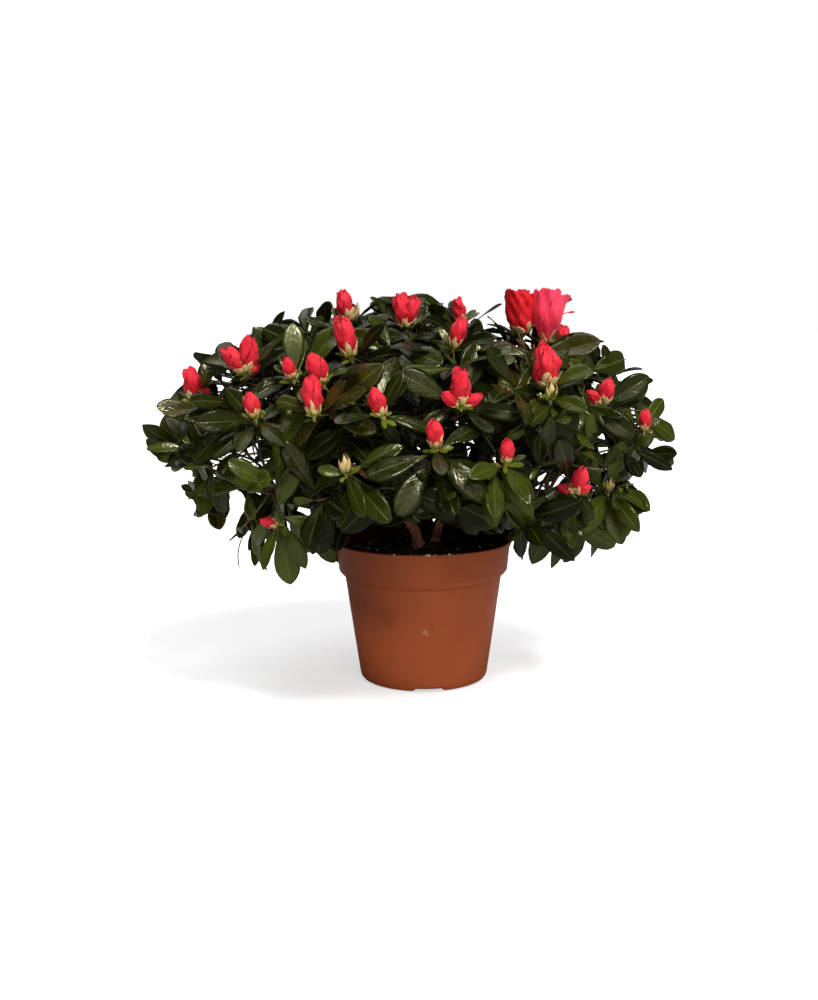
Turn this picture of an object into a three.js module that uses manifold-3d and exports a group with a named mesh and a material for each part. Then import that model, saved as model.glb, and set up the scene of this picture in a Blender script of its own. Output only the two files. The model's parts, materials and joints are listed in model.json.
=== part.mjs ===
// Azalea shrub in a plastic pot: a short forked stem, boughs, and a broad crown of leafy masses with red buds.
// Millimetres, +Z up. The origin is the middle of the pot's underside, on the surface that it stands on.
// The front of the plant faces -Y. Turns are degrees about +Z from +X, rises are degrees above the crown's middle.
import * as THREE from "three";
import { mergeVertices } from "three/addons/utils/BufferGeometryUtils.js";
import Module from "manifold-3d";

const wasm = await Module();
wasm.setup();

// Pot: 14 cm across the rim
const POT_HEIGHT = 112;
const RIM_RADIUS = 70;
const RIM_EDGE = 1.1;
const BAND_FOOT_RADIUS = 67.6;
const BAND_FOOT_HEIGHT = 89;
const SHOULDER_RADIUS = 62.8;
const SHOULDER_HEIGHT = 84;
const SIDE_FOOT_RADIUS = 51;
const SIDE_FOOT_HEIGHT = 6.5;
const FOOT_RADIUS = 44;
const FOOT_RING_WIDTH = 5;
const POT_WALL = 1.8;
const FLOOR_HEIGHT = 3;
const CENTRE_PAD_RADIUS = 9;
const POT_SIDES = 32;
const NOTCH_COUNT = 4;
const NOTCH_FRONT_TURN = 274;
const NOTCH_WIDTH = 26;
const NOTCH_TOP_WIDTH = 20;
const NOTCH_HEIGHT = 2.8;
const DRAIN_COUNT = 6;
const DRAIN_RADIUS = 4;
const DRAIN_RING_RADIUS = 27;

// Peat
const SOIL_DROP = 6;
const SOIL_FLAT_RADIUS = 38;
const SOIL_EDGE_DROP = 2.5;
const SOIL_SIDES = 24;

// Stems: each from a flat cut on the peat to the knuckle where it forks
const GAP = 0.3;
const TRUNK_FOOT = [-4, 4];
const TRUNK_FORK = [-15, 2, 133];
const TRUNK_RADIUS = 4.6;
const TRUNK_FLARE = 7.6;
const TRUNK_KNUCKLE = 7.4;
const SECOND_FOOT = [10, 15];
const SECOND_FORK = [20, 14, 134];
const SECOND_RADIUS = 3.6;
const SECOND_FLARE = 5.6;
const SECOND_KNUCKLE = 7;
const FLARE_REACH = 7;
const STEM_TAPER = 0.12;
const STEM_UPRIGHT_SHARE = 0.4;

// Boughs: one to each mass of foliage
const BOUGH_RADIUS = 2.3;
const BOUGH_TIP_RADIUS = 1.7;
const BOUGH_ARCH = 0.1;
const BOUGH_SHARE = 0.5;

// Crown: an ellipsoid round its middle, lifted off the pot's front, in masses that each keep to one cell
const CROWN_MIDDLE = [-11, 0, 190];
const CROWN_HALF = [218, 208, 119];
const SKIRT_HEIGHT = 77;
const SKIRT_FRONT_LIFT = 58;
const SKIRT_FRONT_SPREAD = 32;
const SHOOT_ABOVE_SKIRT = 16;
const MASS_RINGS = [
  { name: "low", count: 6, firstTurn: 30, reach: 146, height: 154 },
  { name: "high", count: 4, firstTurn: 0, reach: 104, height: 226 },
  { name: "top", count: 1, firstTurn: 0, reach: 0, height: 242 },
];
const MASS_WANDER = 9;
const CELL_MARGIN = 0.6;

// Shoots: the ones that show from the front, then more on an outer and an inner shell
const SHOOT_SHARE = 0.82;
const INNER_SHARE = 0.54;
const OUTER_SPACING = 58;
const INNER_SPACING = 100;
const OUTER_LOWEST_RISE = -38;
const INNER_LOWEST_RISE = -22;
const OUTER_FIRST_TURN = 330;
const INNER_FIRST_TURN = 75;
const SHOWN_CLEARANCE = 28;
const SHOOT_CELL_INSET = 4;
const TWIG_RADIUS = 1.35;
const TWIG_END_RADIUS = 1.1;
const PIPE_POWER = 2.6;
const TWIG_STEPS = 2;
const TWIG_REACH_ON = 0.4;
const BRANCH_PULL = 0.5;
const BRANCH_TURN_OFF = 0.7;
const TWIG_CELL_INSET = 4;
const TWIG_SCALES = [1, 1.04, 0.96, 1.08, 0.92];
const BRANCH_SHARES = [0.2, 0.3, 0.4, 0.5, 0.6];

// Leaves
const LEAF_LENGTH = [46, 60];
const LEAF_WIDTH_SHARE = [0.46, 0.56];
const LEAF_THICKNESS = 1.5;
const LEAF_WIDEST = 0.6;
const LEAF_THICKEST = 0.4;
const LEAF_SINK = 0.1;
const LEAVES_PER_SHOOT = 6;
const FIRST_LEAF_BACK = 1.5;
const LEAF_STEP = 3.4;
const LEAF_FURTHEST_BACK = 0.85;
const LEAF_LIFT = [0.5, 0.7];
const LEAF_LIFT_LOSS = 0.1;
const LEAF_SPIN_WANDER = 0.4;
const LEAF_DROOP = 0.12;
const LEAF_HANG = [0.1, 0.25];
const LOW_HANG = 0.9;
const HANG_START = 95;
const HANG_SPAN = 65;
const LEAF_TRIES = [
  { turn: 0, size: 1 },
  { turn: 0, size: 0.86 },
  { turn: 0.45, size: 0.94 },
  { turn: -0.45, size: 0.94 },
  { turn: 0, size: 0.72 },
  { turn: 1, size: 0.86 },
  { turn: -1, size: 0.86 },
  { turn: 1.6, size: 0.78 },
  { turn: -1.6, size: 0.78 },
];
const PROBE_START = 0.24;
const WELD_GRIDS = [1e-4, 1e-3];
const GOLDEN_ANGLE = Math.PI * (3 - Math.sqrt(5));
const SEED = 1407;

// Buds and half-open blooms: length, widest radius, where it is widest, radius near the tip
const BUDS = {
  tight: { length: 15, radius: 4.6, widest: 0.55, tip: 0 },
  round: { length: 20, radius: 6.6, widest: 0.55, tip: 2.6 },
  opening: { length: 27, radius: 7.4, widest: 0.55, tip: 4.2 },
  bloom: { length: 42, radius: 11, widest: 0.72, tip: 12.5 },
};
const BUD_SIDES = 5;
const BUD_TRIES = [
  { share: 1, sink: 3 },
  { share: 0.9, sink: 3.4 },
  { share: 0.6, sink: 3 },
  { share: 0.2, sink: 3.4 },
  { share: -0.3, sink: 3 },
];
const BACK_BUD_CHANCE = 0.3;
const BACK_BUD_LEANS = 40;
const BACK_BUDS = ["tight", "round", "opening", "opening"];

// Shoots that show from the front: turn, rise, share of the crown, then each bud's kind and its lean to the right
const SHOWN_SHOOTS = [
  [187, 21, 0.82, ["opening", -6], ["tight", 48]],
  [209, 38, 0.8, ["opening", -38], ["opening", 10], ["tight", 62]],
  [235, 36, 0.8, ["tight", -18]],
  [246, 34, 0.8, ["round", -19]],
  [247, 20, 0.8, ["opening", -4]],
  [183, 75, 0.83, ["opening", -12]],
  [250, 48, 0.8, ["opening", -14]],
  [264, 20, 0.8, ["tight", -20]],
  [269, 72, 0.8, ["opening", -12], ["opening", 16]],
  [358, 76, 0.81, ["opening", -13]],
  [288, 53, 0.8, ["round", 16]],
  [283, 24, 0.8, ["opening", 0], ["tight", -56], ["tight", 60]],
  [276, 7, 0.8, ["tight", -3]],
  [356, 55, 0.83, ["bloom", -19], ["bloom", 8]],
  [308, 25, 0.8, ["bloom", 0]],
  [331, 21, 0.8, ["tight", 16], ["tight", -47]],
  [351, 6, 0.85, ["tight", 4]],
  [292, 0, 0.8, ["tight", 6]],
  [314, -15, 0.8, ["round", 21], ["tight", -68], ["tight", 74]],
  [335, -19, 0.8],
  [264, -9, 0.79],
  [278, -12, 0.78],
  [271, 4, 0.66],
  [292, -15, 0.8],
  [248, -15, 0.8],
  [303, -4, 0.76],
  [230, 18, 0.8, ["tight", -14]],
  [233, -29, 0.8, ["tight", -78]],
  [256, -3, 0.8],
];

const UP = new THREE.Vector3(0, 0, 1);
const middle = new THREE.Vector3(...CROWN_MIDDLE);
const half = new THREE.Vector3(...CROWN_HALF);
const soilTop = POT_HEIGHT - SOIL_DROP;

// A seeded run of numbers between 0 and 1
function seeded(seed) {
  let state = seed >>> 0;
  return () => {
    state = (state + 0x6d2b79f5) >>> 0;
    let t = state;
    t = Math.imul(t ^ (t >>> 15), t | 1);
    t ^= t + Math.imul(t ^ (t >>> 7), t | 61);
    return ((t ^ (t >>> 14)) >>> 0) / 4294967296;
  };
}

function between(range, share) {
  return range[0] + (range[1] - range[0]) * share;
}

// Solids and meshes

function solidOf(geometry) {
  const bare = geometry.index ? geometry.toNonIndexed() : geometry.clone();
  bare.deleteAttribute("normal");
  bare.deleteAttribute("uv");
  const welded = mergeVertices(bare, 1e-4);
  const index = welded.index.array;
  const corners = [];
  for (let i = 0; i < index.length; i += 3) {
    const [a, b, c] = index.slice(i, i + 3);
    if (a !== b && b !== c && c !== a) corners.push(a, b, c);
  }
  const vertProperties = new Float32Array(welded.attributes.position.array);
  const triVerts = new Uint32Array(corners);
  const solid = new wasm.Manifold(new wasm.Mesh({ numProp: 3, vertProperties, triVerts }));
  if (solid.volume() <= 0) throw new Error("a solid is inside out");
  return solid;
}

function joined(solids) {
  let layer = solids;
  while (layer.length > 1) {
    const next = [];
    for (let i = 0; i < layer.length; i += 2) {
      next.push(i + 1 < layer.length ? layer[i].add(layer[i + 1]) : layer[i]);
    }
    layer = next;
  }
  return layer[0];
}

// Whether a solid stays one closed surface when places nearer than a step of a grid are taken as one
function staysClosed(solid, grid) {
  const mesh = solid.getMesh();
  const places = new Map();
  const ids = [];
  for (let i = 0; i < mesh.numVert; i += 1) {
    const place = mesh.vertProperties.subarray(i * mesh.numProp, i * mesh.numProp + 3);
    const key = Array.from(place, (value) => Math.round(value / grid)).join();
    if (!places.has(key)) places.set(key, places.size);
    ids.push(places.get(key));
  }
  const edges = new Set();
  for (let i = 0; i < mesh.triVerts.length; i += 3) {
    const corners = [0, 1, 2].map((k) => ids[mesh.triVerts[i + k]]);
    if (new Set(corners).size < 3) continue;
    for (let k = 0; k < 3; k += 1) {
      const edge = corners[k] * ids.length + corners[(k + 1) % 3];
      if (edges.has(edge)) return false;
      edges.add(edge);
    }
  }
  for (const edge of edges) {
    const from = Math.floor(edge / ids.length);
    if (!edges.has((edge % ids.length) * ids.length + from)) return false;
  }
  return true;
}

// A body joined with the first version of a piece that leaves it one clean closed surface, or nothing
function grafted(body, versions) {
  for (const version of versions) {
    const next = body.add(version());
    if (WELD_GRIDS.every((grid) => staysClosed(next, grid))) return next;
  }
  return null;
}

// The largest body of a join, without loose scraps and with its sealed hollows filled
function largestBody(solid) {
  const bodies = solid.decompose();
  bodies.sort((a, b) => b.volume() - a.volume());
  return bodies[0];
}

function meshOf(solid, name, material) {
  const mesh = solid.getMesh();
  const geometry = new THREE.BufferGeometry();
  geometry.setAttribute("position", new THREE.BufferAttribute(mesh.vertProperties, 3));
  geometry.setIndex(new THREE.BufferAttribute(mesh.triVerts, 1));
  geometry.computeVertexNormals();
  const made = new THREE.Mesh(geometry, material);
  made.name = name;
  return made;
}

function turned(profile, sides) {
  const geometry = new THREE.LatheGeometry(profile, sides);
  geometry.rotateX(Math.PI / 2);
  return solidOf(geometry);
}

// A closed tube along a curve, whose radius is a function of the share of the way
function limb(curve, radiusAt, sides, steps) {
  const frames = curve.computeFrenetFrames(steps, false);
  const geometry = new THREE.CylinderGeometry(1, 1, 1, sides, steps);
  const place = geometry.attributes.position;
  const at = new THREE.Vector3();
  for (let i = 0; i < place.count; i += 1) {
    const step = Math.round((place.getY(i) + 0.5) * steps);
    const radius = radiusAt(step / steps);
    curve.getPointAt(step / steps, at);
    at.addScaledVector(frames.normals[step], place.getX(i) * radius);
    at.addScaledVector(frames.binormals[step], -place.getZ(i) * radius);
    place.setXYZ(i, at.x, at.y, at.z);
  }
  return solidOf(geometry);
}

function material(color, roughness) {
  return new THREE.MeshStandardMaterial({ color, roughness, metalness: 0 });
}

const potPlastic = material(0x96492e, 0.5);
const peat = material(0x1d1612, 1);
const bark = material(0x6b4a38, 0.85);
const foliage = material(0x24401f, 0.45);

// Pot

function potProfile() {
  const top = POT_HEIGHT;
  const innerRim = RIM_RADIUS - 2 * RIM_EDGE;
  const path = new THREE.Path();
  path.moveTo(0, 0);
  path.lineTo(CENTRE_PAD_RADIUS, 0);
  path.lineTo(CENTRE_PAD_RADIUS + 1, FLOOR_HEIGHT);
  path.lineTo(FOOT_RADIUS - FOOT_RING_WIDTH - 1, FLOOR_HEIGHT);
  path.lineTo(FOOT_RADIUS - FOOT_RING_WIDTH, 0);
  path.lineTo(FOOT_RADIUS, 0);
  path.quadraticCurveTo(SIDE_FOOT_RADIUS - 1, 0, SIDE_FOOT_RADIUS, SIDE_FOOT_HEIGHT);
  path.lineTo(SHOULDER_RADIUS, SHOULDER_HEIGHT);
  path.lineTo(BAND_FOOT_RADIUS, BAND_FOOT_HEIGHT);
  path.lineTo(RIM_RADIUS, top - RIM_EDGE);
  path.quadraticCurveTo(RIM_RADIUS, top, RIM_RADIUS - RIM_EDGE, top);
  path.quadraticCurveTo(innerRim, top, innerRim, top - RIM_EDGE);
  path.lineTo(BAND_FOOT_RADIUS - POT_WALL, BAND_FOOT_HEIGHT + 1);
  path.lineTo(SHOULDER_RADIUS - POT_WALL, SHOULDER_HEIGHT + 1);
  path.lineTo(SIDE_FOOT_RADIUS - POT_WALL, SIDE_FOOT_HEIGHT + POT_WALL);
  path.lineTo(SIDE_FOOT_RADIUS - 3 * POT_WALL, FLOOR_HEIGHT + POT_WALL);
  path.lineTo(0, FLOOR_HEIGHT + POT_WALL);
  return path.getPoints(2);
}

function notchCutter(turn) {
  const outline = new THREE.Shape();
  outline.moveTo(-NOTCH_WIDTH / 2, -1);
  outline.lineTo(NOTCH_WIDTH / 2, -1);
  outline.lineTo(NOTCH_WIDTH / 2, 0);
  outline.lineTo(NOTCH_TOP_WIDTH / 2, NOTCH_HEIGHT);
  outline.lineTo(-NOTCH_TOP_WIDTH / 2, NOTCH_HEIGHT);
  outline.lineTo(-NOTCH_WIDTH / 2, 0);
  const reach = SIDE_FOOT_RADIUS - FOOT_RADIUS + FOOT_RING_WIDTH + 6;
  const geometry = new THREE.ExtrudeGeometry(outline, { depth: reach, bevelEnabled: false });
  geometry.rotateX(Math.PI / 2);
  geometry.translate(0, SIDE_FOOT_RADIUS + 3, 0);
  geometry.rotateZ(THREE.MathUtils.degToRad(turn - 90));
  return solidOf(geometry);
}

function drainCutter(turn) {
  const geometry = new THREE.CylinderGeometry(DRAIN_RADIUS, DRAIN_RADIUS, 4 * FLOOR_HEIGHT, 10);
  geometry.rotateX(Math.PI / 2);
  geometry.translate(DRAIN_RING_RADIUS, 0, FLOOR_HEIGHT);
  geometry.rotateZ(THREE.MathUtils.degToRad(turn));
  return solidOf(geometry);
}

function makePot() {
  let pot = turned(potProfile(), POT_SIDES);
  for (let i = 0; i < NOTCH_COUNT; i += 1) {
    pot = pot.subtract(notchCutter(NOTCH_FRONT_TURN + (i * 360) / NOTCH_COUNT));
  }
  for (let i = 0; i < DRAIN_COUNT; i += 1) {
    pot = pot.subtract(drainCutter((i * 360) / DRAIN_COUNT));
  }
  return pot;
}

function makeSoil() {
  const clear = POT_WALL + 2 * GAP;
  const sideTop = soilTop - SOIL_EDGE_DROP;
  const bandSlope = (RIM_RADIUS - BAND_FOOT_RADIUS) / (POT_HEIGHT - BAND_FOOT_HEIGHT);
  const topRadius = BAND_FOOT_RADIUS + bandSlope * (sideTop - BAND_FOOT_HEIGHT) - clear - 1;
  const floorTop = FLOOR_HEIGHT + POT_WALL + GAP;
  const profile = [
    new THREE.Vector2(0, floorTop),
    new THREE.Vector2(SIDE_FOOT_RADIUS - 3 * POT_WALL - 1, floorTop),
    new THREE.Vector2(SIDE_FOOT_RADIUS - clear, SIDE_FOOT_HEIGHT + clear + 1),
    new THREE.Vector2(SHOULDER_RADIUS - clear, SHOULDER_HEIGHT + 2),
    new THREE.Vector2(BAND_FOOT_RADIUS - clear - GAP, BAND_FOOT_HEIGHT + 1.6),
    new THREE.Vector2(topRadius, sideTop),
    new THREE.Vector2(SOIL_FLAT_RADIUS, soilTop),
    new THREE.Vector2(0, soilTop),
  ];
  return turned(profile, SOIL_SIDES);
}

// Stems and boughs

function makeStem(foot, fork, radius, flare, knuckle) {
  const base = soilTop + GAP;
  const start = new THREE.Vector3(foot[0], foot[1], base);
  const end = new THREE.Vector3(...fork);
  const height = end.z - base;
  const upright = new THREE.Vector3(foot[0], foot[1], base + STEM_UPRIGHT_SHARE * height);
  const curve = new THREE.QuadraticBezierCurve3(start, upright, end);
  const radiusAt = (share) => {
    const flared = (flare - radius) * Math.max(0, 1 - (share * height) / FLARE_REACH) ** 2;
    return radius * (1 - STEM_TAPER * share) + flared;
  };
  const knot = new THREE.SphereGeometry(knuckle, 10, 8);
  knot.translate(...fork);
  return limb(curve, radiusAt, 8, 6).add(solidOf(knot));
}

function makeMasses() {
  const masses = [];
  const random = seeded(SEED);
  for (const ring of MASS_RINGS) {
    for (let i = 0; i < ring.count; i += 1) {
      const turn = THREE.MathUtils.degToRad(ring.firstTurn + (i * 360) / ring.count);
      const centre = new THREE.Vector3(Math.cos(turn), Math.sin(turn), 0);
      centre.multiplyScalar(ring.reach);
      centre.add(new THREE.Vector3(middle.x, middle.y, ring.height));
      centre.x += (random() - 0.5) * MASS_WANDER;
      centre.y += (random() - 0.5) * MASS_WANDER;
      centre.z += (random() - 0.5) * MASS_WANDER;
      const name = ring.count > 1 ? `${ring.name}_${i + 1}` : ring.name;
      masses.push({ name, centre, shoots: [] });
    }
  }
  return masses;
}

// A test for one mass: whether a place lies in the mass's own cell, a margin clear of its walls
function cellOf(mass, masses) {
  return (place, margin) => masses.every((other) => {
    if (other === mass) return true;
    const nearer = place.distanceToSquared(other.centre) - place.distanceToSquared(mass.centre);
    return nearer / (2 * other.centre.distanceTo(mass.centre)) > margin;
  });
}

// One bough from a knuckle to where it enters its mass
function boughTo(mass, fork, knuckle) {
  const hub = new THREE.Vector3(...fork);
  const end = hub.clone().lerp(mass.centre, BOUGH_SHARE);
  const bend = hub.clone().lerp(end, 0.5);
  bend.z += BOUGH_ARCH * hub.distanceTo(end);
  const away = bend.clone().sub(hub).normalize();
  const start = hub.clone().addScaledVector(away, knuckle + GAP);
  const curve = new THREE.QuadraticBezierCurve3(start, bend, end);
  const taper = (share) => between([BOUGH_RADIUS, BOUGH_TIP_RADIUS], share);
  const heading = curve.getTangentAt(1);
  return { curve, end, heading, solid: limb(curve, taper, 5, 4) };
}

// Where the crown's shoots end

function crownPoint(turn, rise, share) {
  const level = Math.cos(THREE.MathUtils.degToRad(rise)) * share;
  return new THREE.Vector3(
    middle.x + half.x * level * Math.cos(THREE.MathUtils.degToRad(turn)),
    middle.y + half.y * level * Math.sin(THREE.MathUtils.degToRad(turn)),
    middle.z + half.z * Math.sin(THREE.MathUtils.degToRad(rise)) * share,
  );
}

// The lowest height that leaves hang to, higher over the pot's front
function skirtAt(place) {
  const turn = THREE.MathUtils.radToDeg(Math.atan2(place.y - middle.y, place.x - middle.x));
  const off = (((turn + 90 + 540) % 360) - 180) / SKIRT_FRONT_SPREAD;
  return SKIRT_HEIGHT + SKIRT_FRONT_LIFT * Math.exp(-off * off);
}

// Shoots in a spiral from the crown's top down, each with the same share of the shell's surface
function shellShoots(spacing, lowestRise, share, firstTurn) {
  const shoots = [];
  const wide = half.x * share;
  const tall = half.z * share;
  const bottom = Math.sin(THREE.MathUtils.degToRad(lowestRise));
  const stepAt = (level) => {
    const slope = Math.sqrt(tall ** 2 + (wide ** 2 - tall ** 2) * level ** 2);
    return spacing ** 2 / (2 * Math.PI * wide * slope);
  };
  for (let level = 1 - stepAt(1) / 2; level > bottom; level -= stepAt(level)) {
    const rise = THREE.MathUtils.radToDeg(Math.asin(level));
    const turn = firstTurn + THREE.MathUtils.radToDeg(shoots.length * GOLDEN_ANGLE);
    shoots.push({ foot: crownPoint(turn % 360, rise, share), buds: [] });
  }
  return shoots;
}

function makeShoots() {
  const shown = SHOWN_SHOOTS.map(([turn, rise, share, ...buds]) => {
    return { foot: crownPoint(turn, rise, share), buds };
  });
  const random = seeded(SEED + 1);
  const more = [];
  for (const shoot of shellShoots(OUTER_SPACING, OUTER_LOWEST_RISE, SHOOT_SHARE, OUTER_FIRST_TURN)) {
    const crowded = shown.some((other) => other.foot.distanceTo(shoot.foot) < SHOWN_CLEARANCE);
    const chance = random();
    const kind = BACK_BUDS[Math.floor(random() * BACK_BUDS.length)];
    const lean = (random() - 0.5) * BACK_BUD_LEANS;
    const tooLow = shoot.foot.z < skirtAt(shoot.foot) + SHOOT_ABOVE_SKIRT;
    if (crowded || tooLow) continue;
    if (shoot.foot.y > 0 && chance < BACK_BUD_CHANCE) shoot.buds.push([kind, lean]);
    more.push(shoot);
  }
  const inner = shellShoots(INNER_SPACING, INNER_LOWEST_RISE, INNER_SHARE, INNER_FIRST_TURN);
  return [...shown, ...more, ...inner];
}

// Gives each shoot to the mass whose cell it stands in, and draws it in from the cell's walls
function shareOut(shoots, masses) {
  for (const shoot of shoots) {
    let nearest = masses[0];
    for (const mass of masses) {
      if (shoot.foot.distanceTo(mass.centre) < shoot.foot.distanceTo(nearest.centre)) nearest = mass;
    }
    const holds = cellOf(nearest, masses);
    for (let i = 0; i < 30 && !holds(shoot.foot, SHOOT_CELL_INSET); i += 1) {
      shoot.foot.lerp(nearest.centre, 0.02);
    }
    nearest.shoots.push(shoot);
  }
}

// Twigs: a leader runs to the furthest shoot, and the rest branch from it in two groups, each with its own leader

function splitShoots(shoots) {
  if (shoots.length < 2) return shoots.length ? [shoots] : [];
  let ends = [shoots[0], shoots[1]];
  for (const a of shoots) {
    for (const b of shoots) {
      if (a.foot.distanceTo(b.foot) > ends[0].foot.distanceTo(ends[1].foot)) ends = [a, b];
    }
  }
  const near = shoots.filter((s) => s.foot.distanceTo(ends[0].foot) <= s.foot.distanceTo(ends[1].foot));
  return [near, shoots.filter((s) => !near.includes(s))];
}

// Leaves its start along the heading, or at an angle to it where it branches off
function twigCurve(start, heading, end, turnOff, holds) {
  const straight = start.clone().lerp(end, 0.5);
  const bend = start.clone().addScaledVector(heading, TWIG_REACH_ON * start.distanceTo(end));
  bend.lerp(straight, turnOff);
  for (let i = 0; i < 4 && !holds(bend, TWIG_CELL_INSET); i += 1) bend.lerp(straight, 0.4);
  return new THREE.QuadraticBezierCurve3(start, bend, end);
}

// The middle of a twig at a share of its way: twigs are straight between their steps
function alongTwig(curve, share) {
  const step = Math.min(Math.floor(share * TWIG_STEPS), TWIG_STEPS - 1);
  const from = curve.getPointAt(step / TWIG_STEPS);
  const to = curve.getPointAt((step + 1) / TWIG_STEPS);
  return from.lerp(to, share * TWIG_STEPS - step);
}

// The share of the leader's way at which a group of shoots branches off
function branchShare(curve, start, group) {
  const goal = new THREE.Vector3();
  group.forEach((shoot) => goal.addScaledVector(shoot.foot, 1 / group.length));
  goal.lerp(start, BRANCH_PULL);
  let best = BRANCH_SHARES[0];
  for (const share of BRANCH_SHARES) {
    const nearer = alongTwig(curve, share).distanceTo(goal) < alongTwig(curve, best).distanceTo(goal);
    if (nearer) best = share;
  }
  return best;
}

function growTwigs(start, heading, shoots, turnOff, holds) {
  const radius = TWIG_RADIUS * shoots.length ** (1 / PIPE_POWER);
  let leader = shoots[0];
  for (const shoot of shoots) {
    if (shoot.foot.distanceTo(start) > leader.foot.distanceTo(start)) leader = shoot;
  }
  const curve = twigCurve(start, heading, leader.foot.clone(), turnOff, holds);
  leader.curve = curve;
  const twigs = [{ curve, radius }];
  for (const group of splitShoots(shoots.filter((shoot) => shoot !== leader))) {
    const share = branchShare(curve, start, group);
    const onward = curve.getTangentAt(share);
    twigs.push(...growTwigs(alongTwig(curve, share), onward, group, BRANCH_TURN_OFF, holds));
  }
  return twigs;
}

function twigSolid({ curve, radius }, scale) {
  return limb(curve, (share) => between([radius, TWIG_END_RADIUS], share) * scale, 3, TWIG_STEPS);
}

// All the twigs of a mass as one body
function makeWood(start, heading, shoots, holds) {
  const [stem, ...others] = growTwigs(start, heading, shoots, 0, holds);
  let wood = twigSolid(stem, 1);
  for (const twig of others) {
    const next = grafted(wood, TWIG_SCALES.map((scale) => () => twigSolid(twig, scale)));
    if (!next) throw new Error("a twig can't be joined cleanly");
    wood = next;
  }
  return wood;
}

// Leaves and buds

const leafFaces = new THREE.OctahedronGeometry(1, 0);

// A leaf of eight faces: root, tip, two sides, and one point above and one below its middle
function leafGeometry(leaf, from) {
  const { root, along, across, upper, length, width } = leaf;
  const geometry = leafFaces.clone();
  const place = geometry.attributes.position;
  for (let i = 0; i < place.count; i += 1) {
    const x = Math.round(place.getX(i));
    const y = Math.round(place.getY(i));
    const z = Math.round(place.getZ(i));
    let share = LEAF_THICKEST;
    if (y > 0) share = 1;
    if (y < 0) share = from;
    if (x !== 0) share = LEAF_WIDEST;
    const at = root.clone().addScaledVector(along, share * length);
    at.addScaledVector(across, (x * width) / 2);
    at.addScaledVector(upper, (z * LEAF_THICKNESS) / 2);
    at.addScaledVector(UP, -LEAF_DROOP * length * share * share);
    place.setXYZ(i, at.x, at.y, at.z);
  }
  return geometry;
}

function cornersOf(geometry) {
  const place = geometry.attributes.position;
  const corners = [];
  for (let i = 0; i < place.count; i += 1) corners.push(new THREE.Vector3().fromBufferAttribute(place, i));
  return corners;
}

// The directions of a leaf at a spot of its shoot: along it, across it, and out of its upper face
function leafFrame(spot, axis, spin, lift, hang) {
  const outward = spot.clone().sub(middle).divide(half).divide(half).normalize();
  const side = outward.clone().addScaledVector(axis, -outward.dot(axis)).normalize();
  side.applyAxisAngle(axis, spin);
  const low = THREE.MathUtils.clamp((skirtAt(spot) + HANG_START - spot.z) / HANG_SPAN, 0, 1);
  const along = side.multiplyScalar(Math.cos(lift)).addScaledVector(axis, Math.sin(lift));
  along.z -= hang + LOW_HANG * low;
  along.normalize();
  const upper = UP.clone().multiplyScalar(0.7).addScaledVector(outward, 0.8);
  upper.addScaledVector(along, -upper.dot(along)).normalize();
  return { along, upper, across: new THREE.Vector3().crossVectors(along, upper) };
}

function insideCrown(corners) {
  return corners.every((corner) => {
    const reach = corner.clone().sub(middle).divide(half).length();
    return reach < 1 && corner.z > skirtAt(corner);
  });
}

function budGeometry(kind, foot, lean, sink) {
  const { length, radius, widest, tip } = BUDS[kind];
  const profile = [new THREE.Vector2(0, 0), new THREE.Vector2(radius, length * widest)];
  if (tip > 0) profile.push(new THREE.Vector2(tip, length * 0.9));
  profile.push(new THREE.Vector2(0, length));
  const geometry = new THREE.LatheGeometry(profile, BUD_SIDES);
  geometry.rotateX(Math.PI / 2);
  geometry.translate(0, 0, -sink);
  geometry.rotateY(THREE.MathUtils.degToRad(lean));
  geometry.translate(foot.x, foot.y, foot.z);
  return geometry;
}

// The buds of one shoot: one that would leave its space stands straighter, then is left out
function withBuds(body, shoot, holds, taken) {
  let grown = body;
  for (const [kind, lean] of shoot.buds) {
    for (const { share, sink } of BUD_TRIES) {
      const geometry = budGeometry(kind, shoot.foot, lean * share, sink);
      if (!cornersOf(geometry).every((corner) => holds(corner, CELL_MARGIN))) continue;
      const solid = solidOf(geometry);
      const next = grafted(grown, [() => solid]);
      if (!next) continue;
      geometry.computeBoundingBox();
      taken.push({ solid, box: geometry.boundingBox });
      grown = next;
      break;
    }
  }
  return grown;
}

function touches(probe, box, others) {
  return others.some((other) => other.box.intersectsBox(box) && !probe.intersect(other.solid).isEmpty());
}

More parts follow.
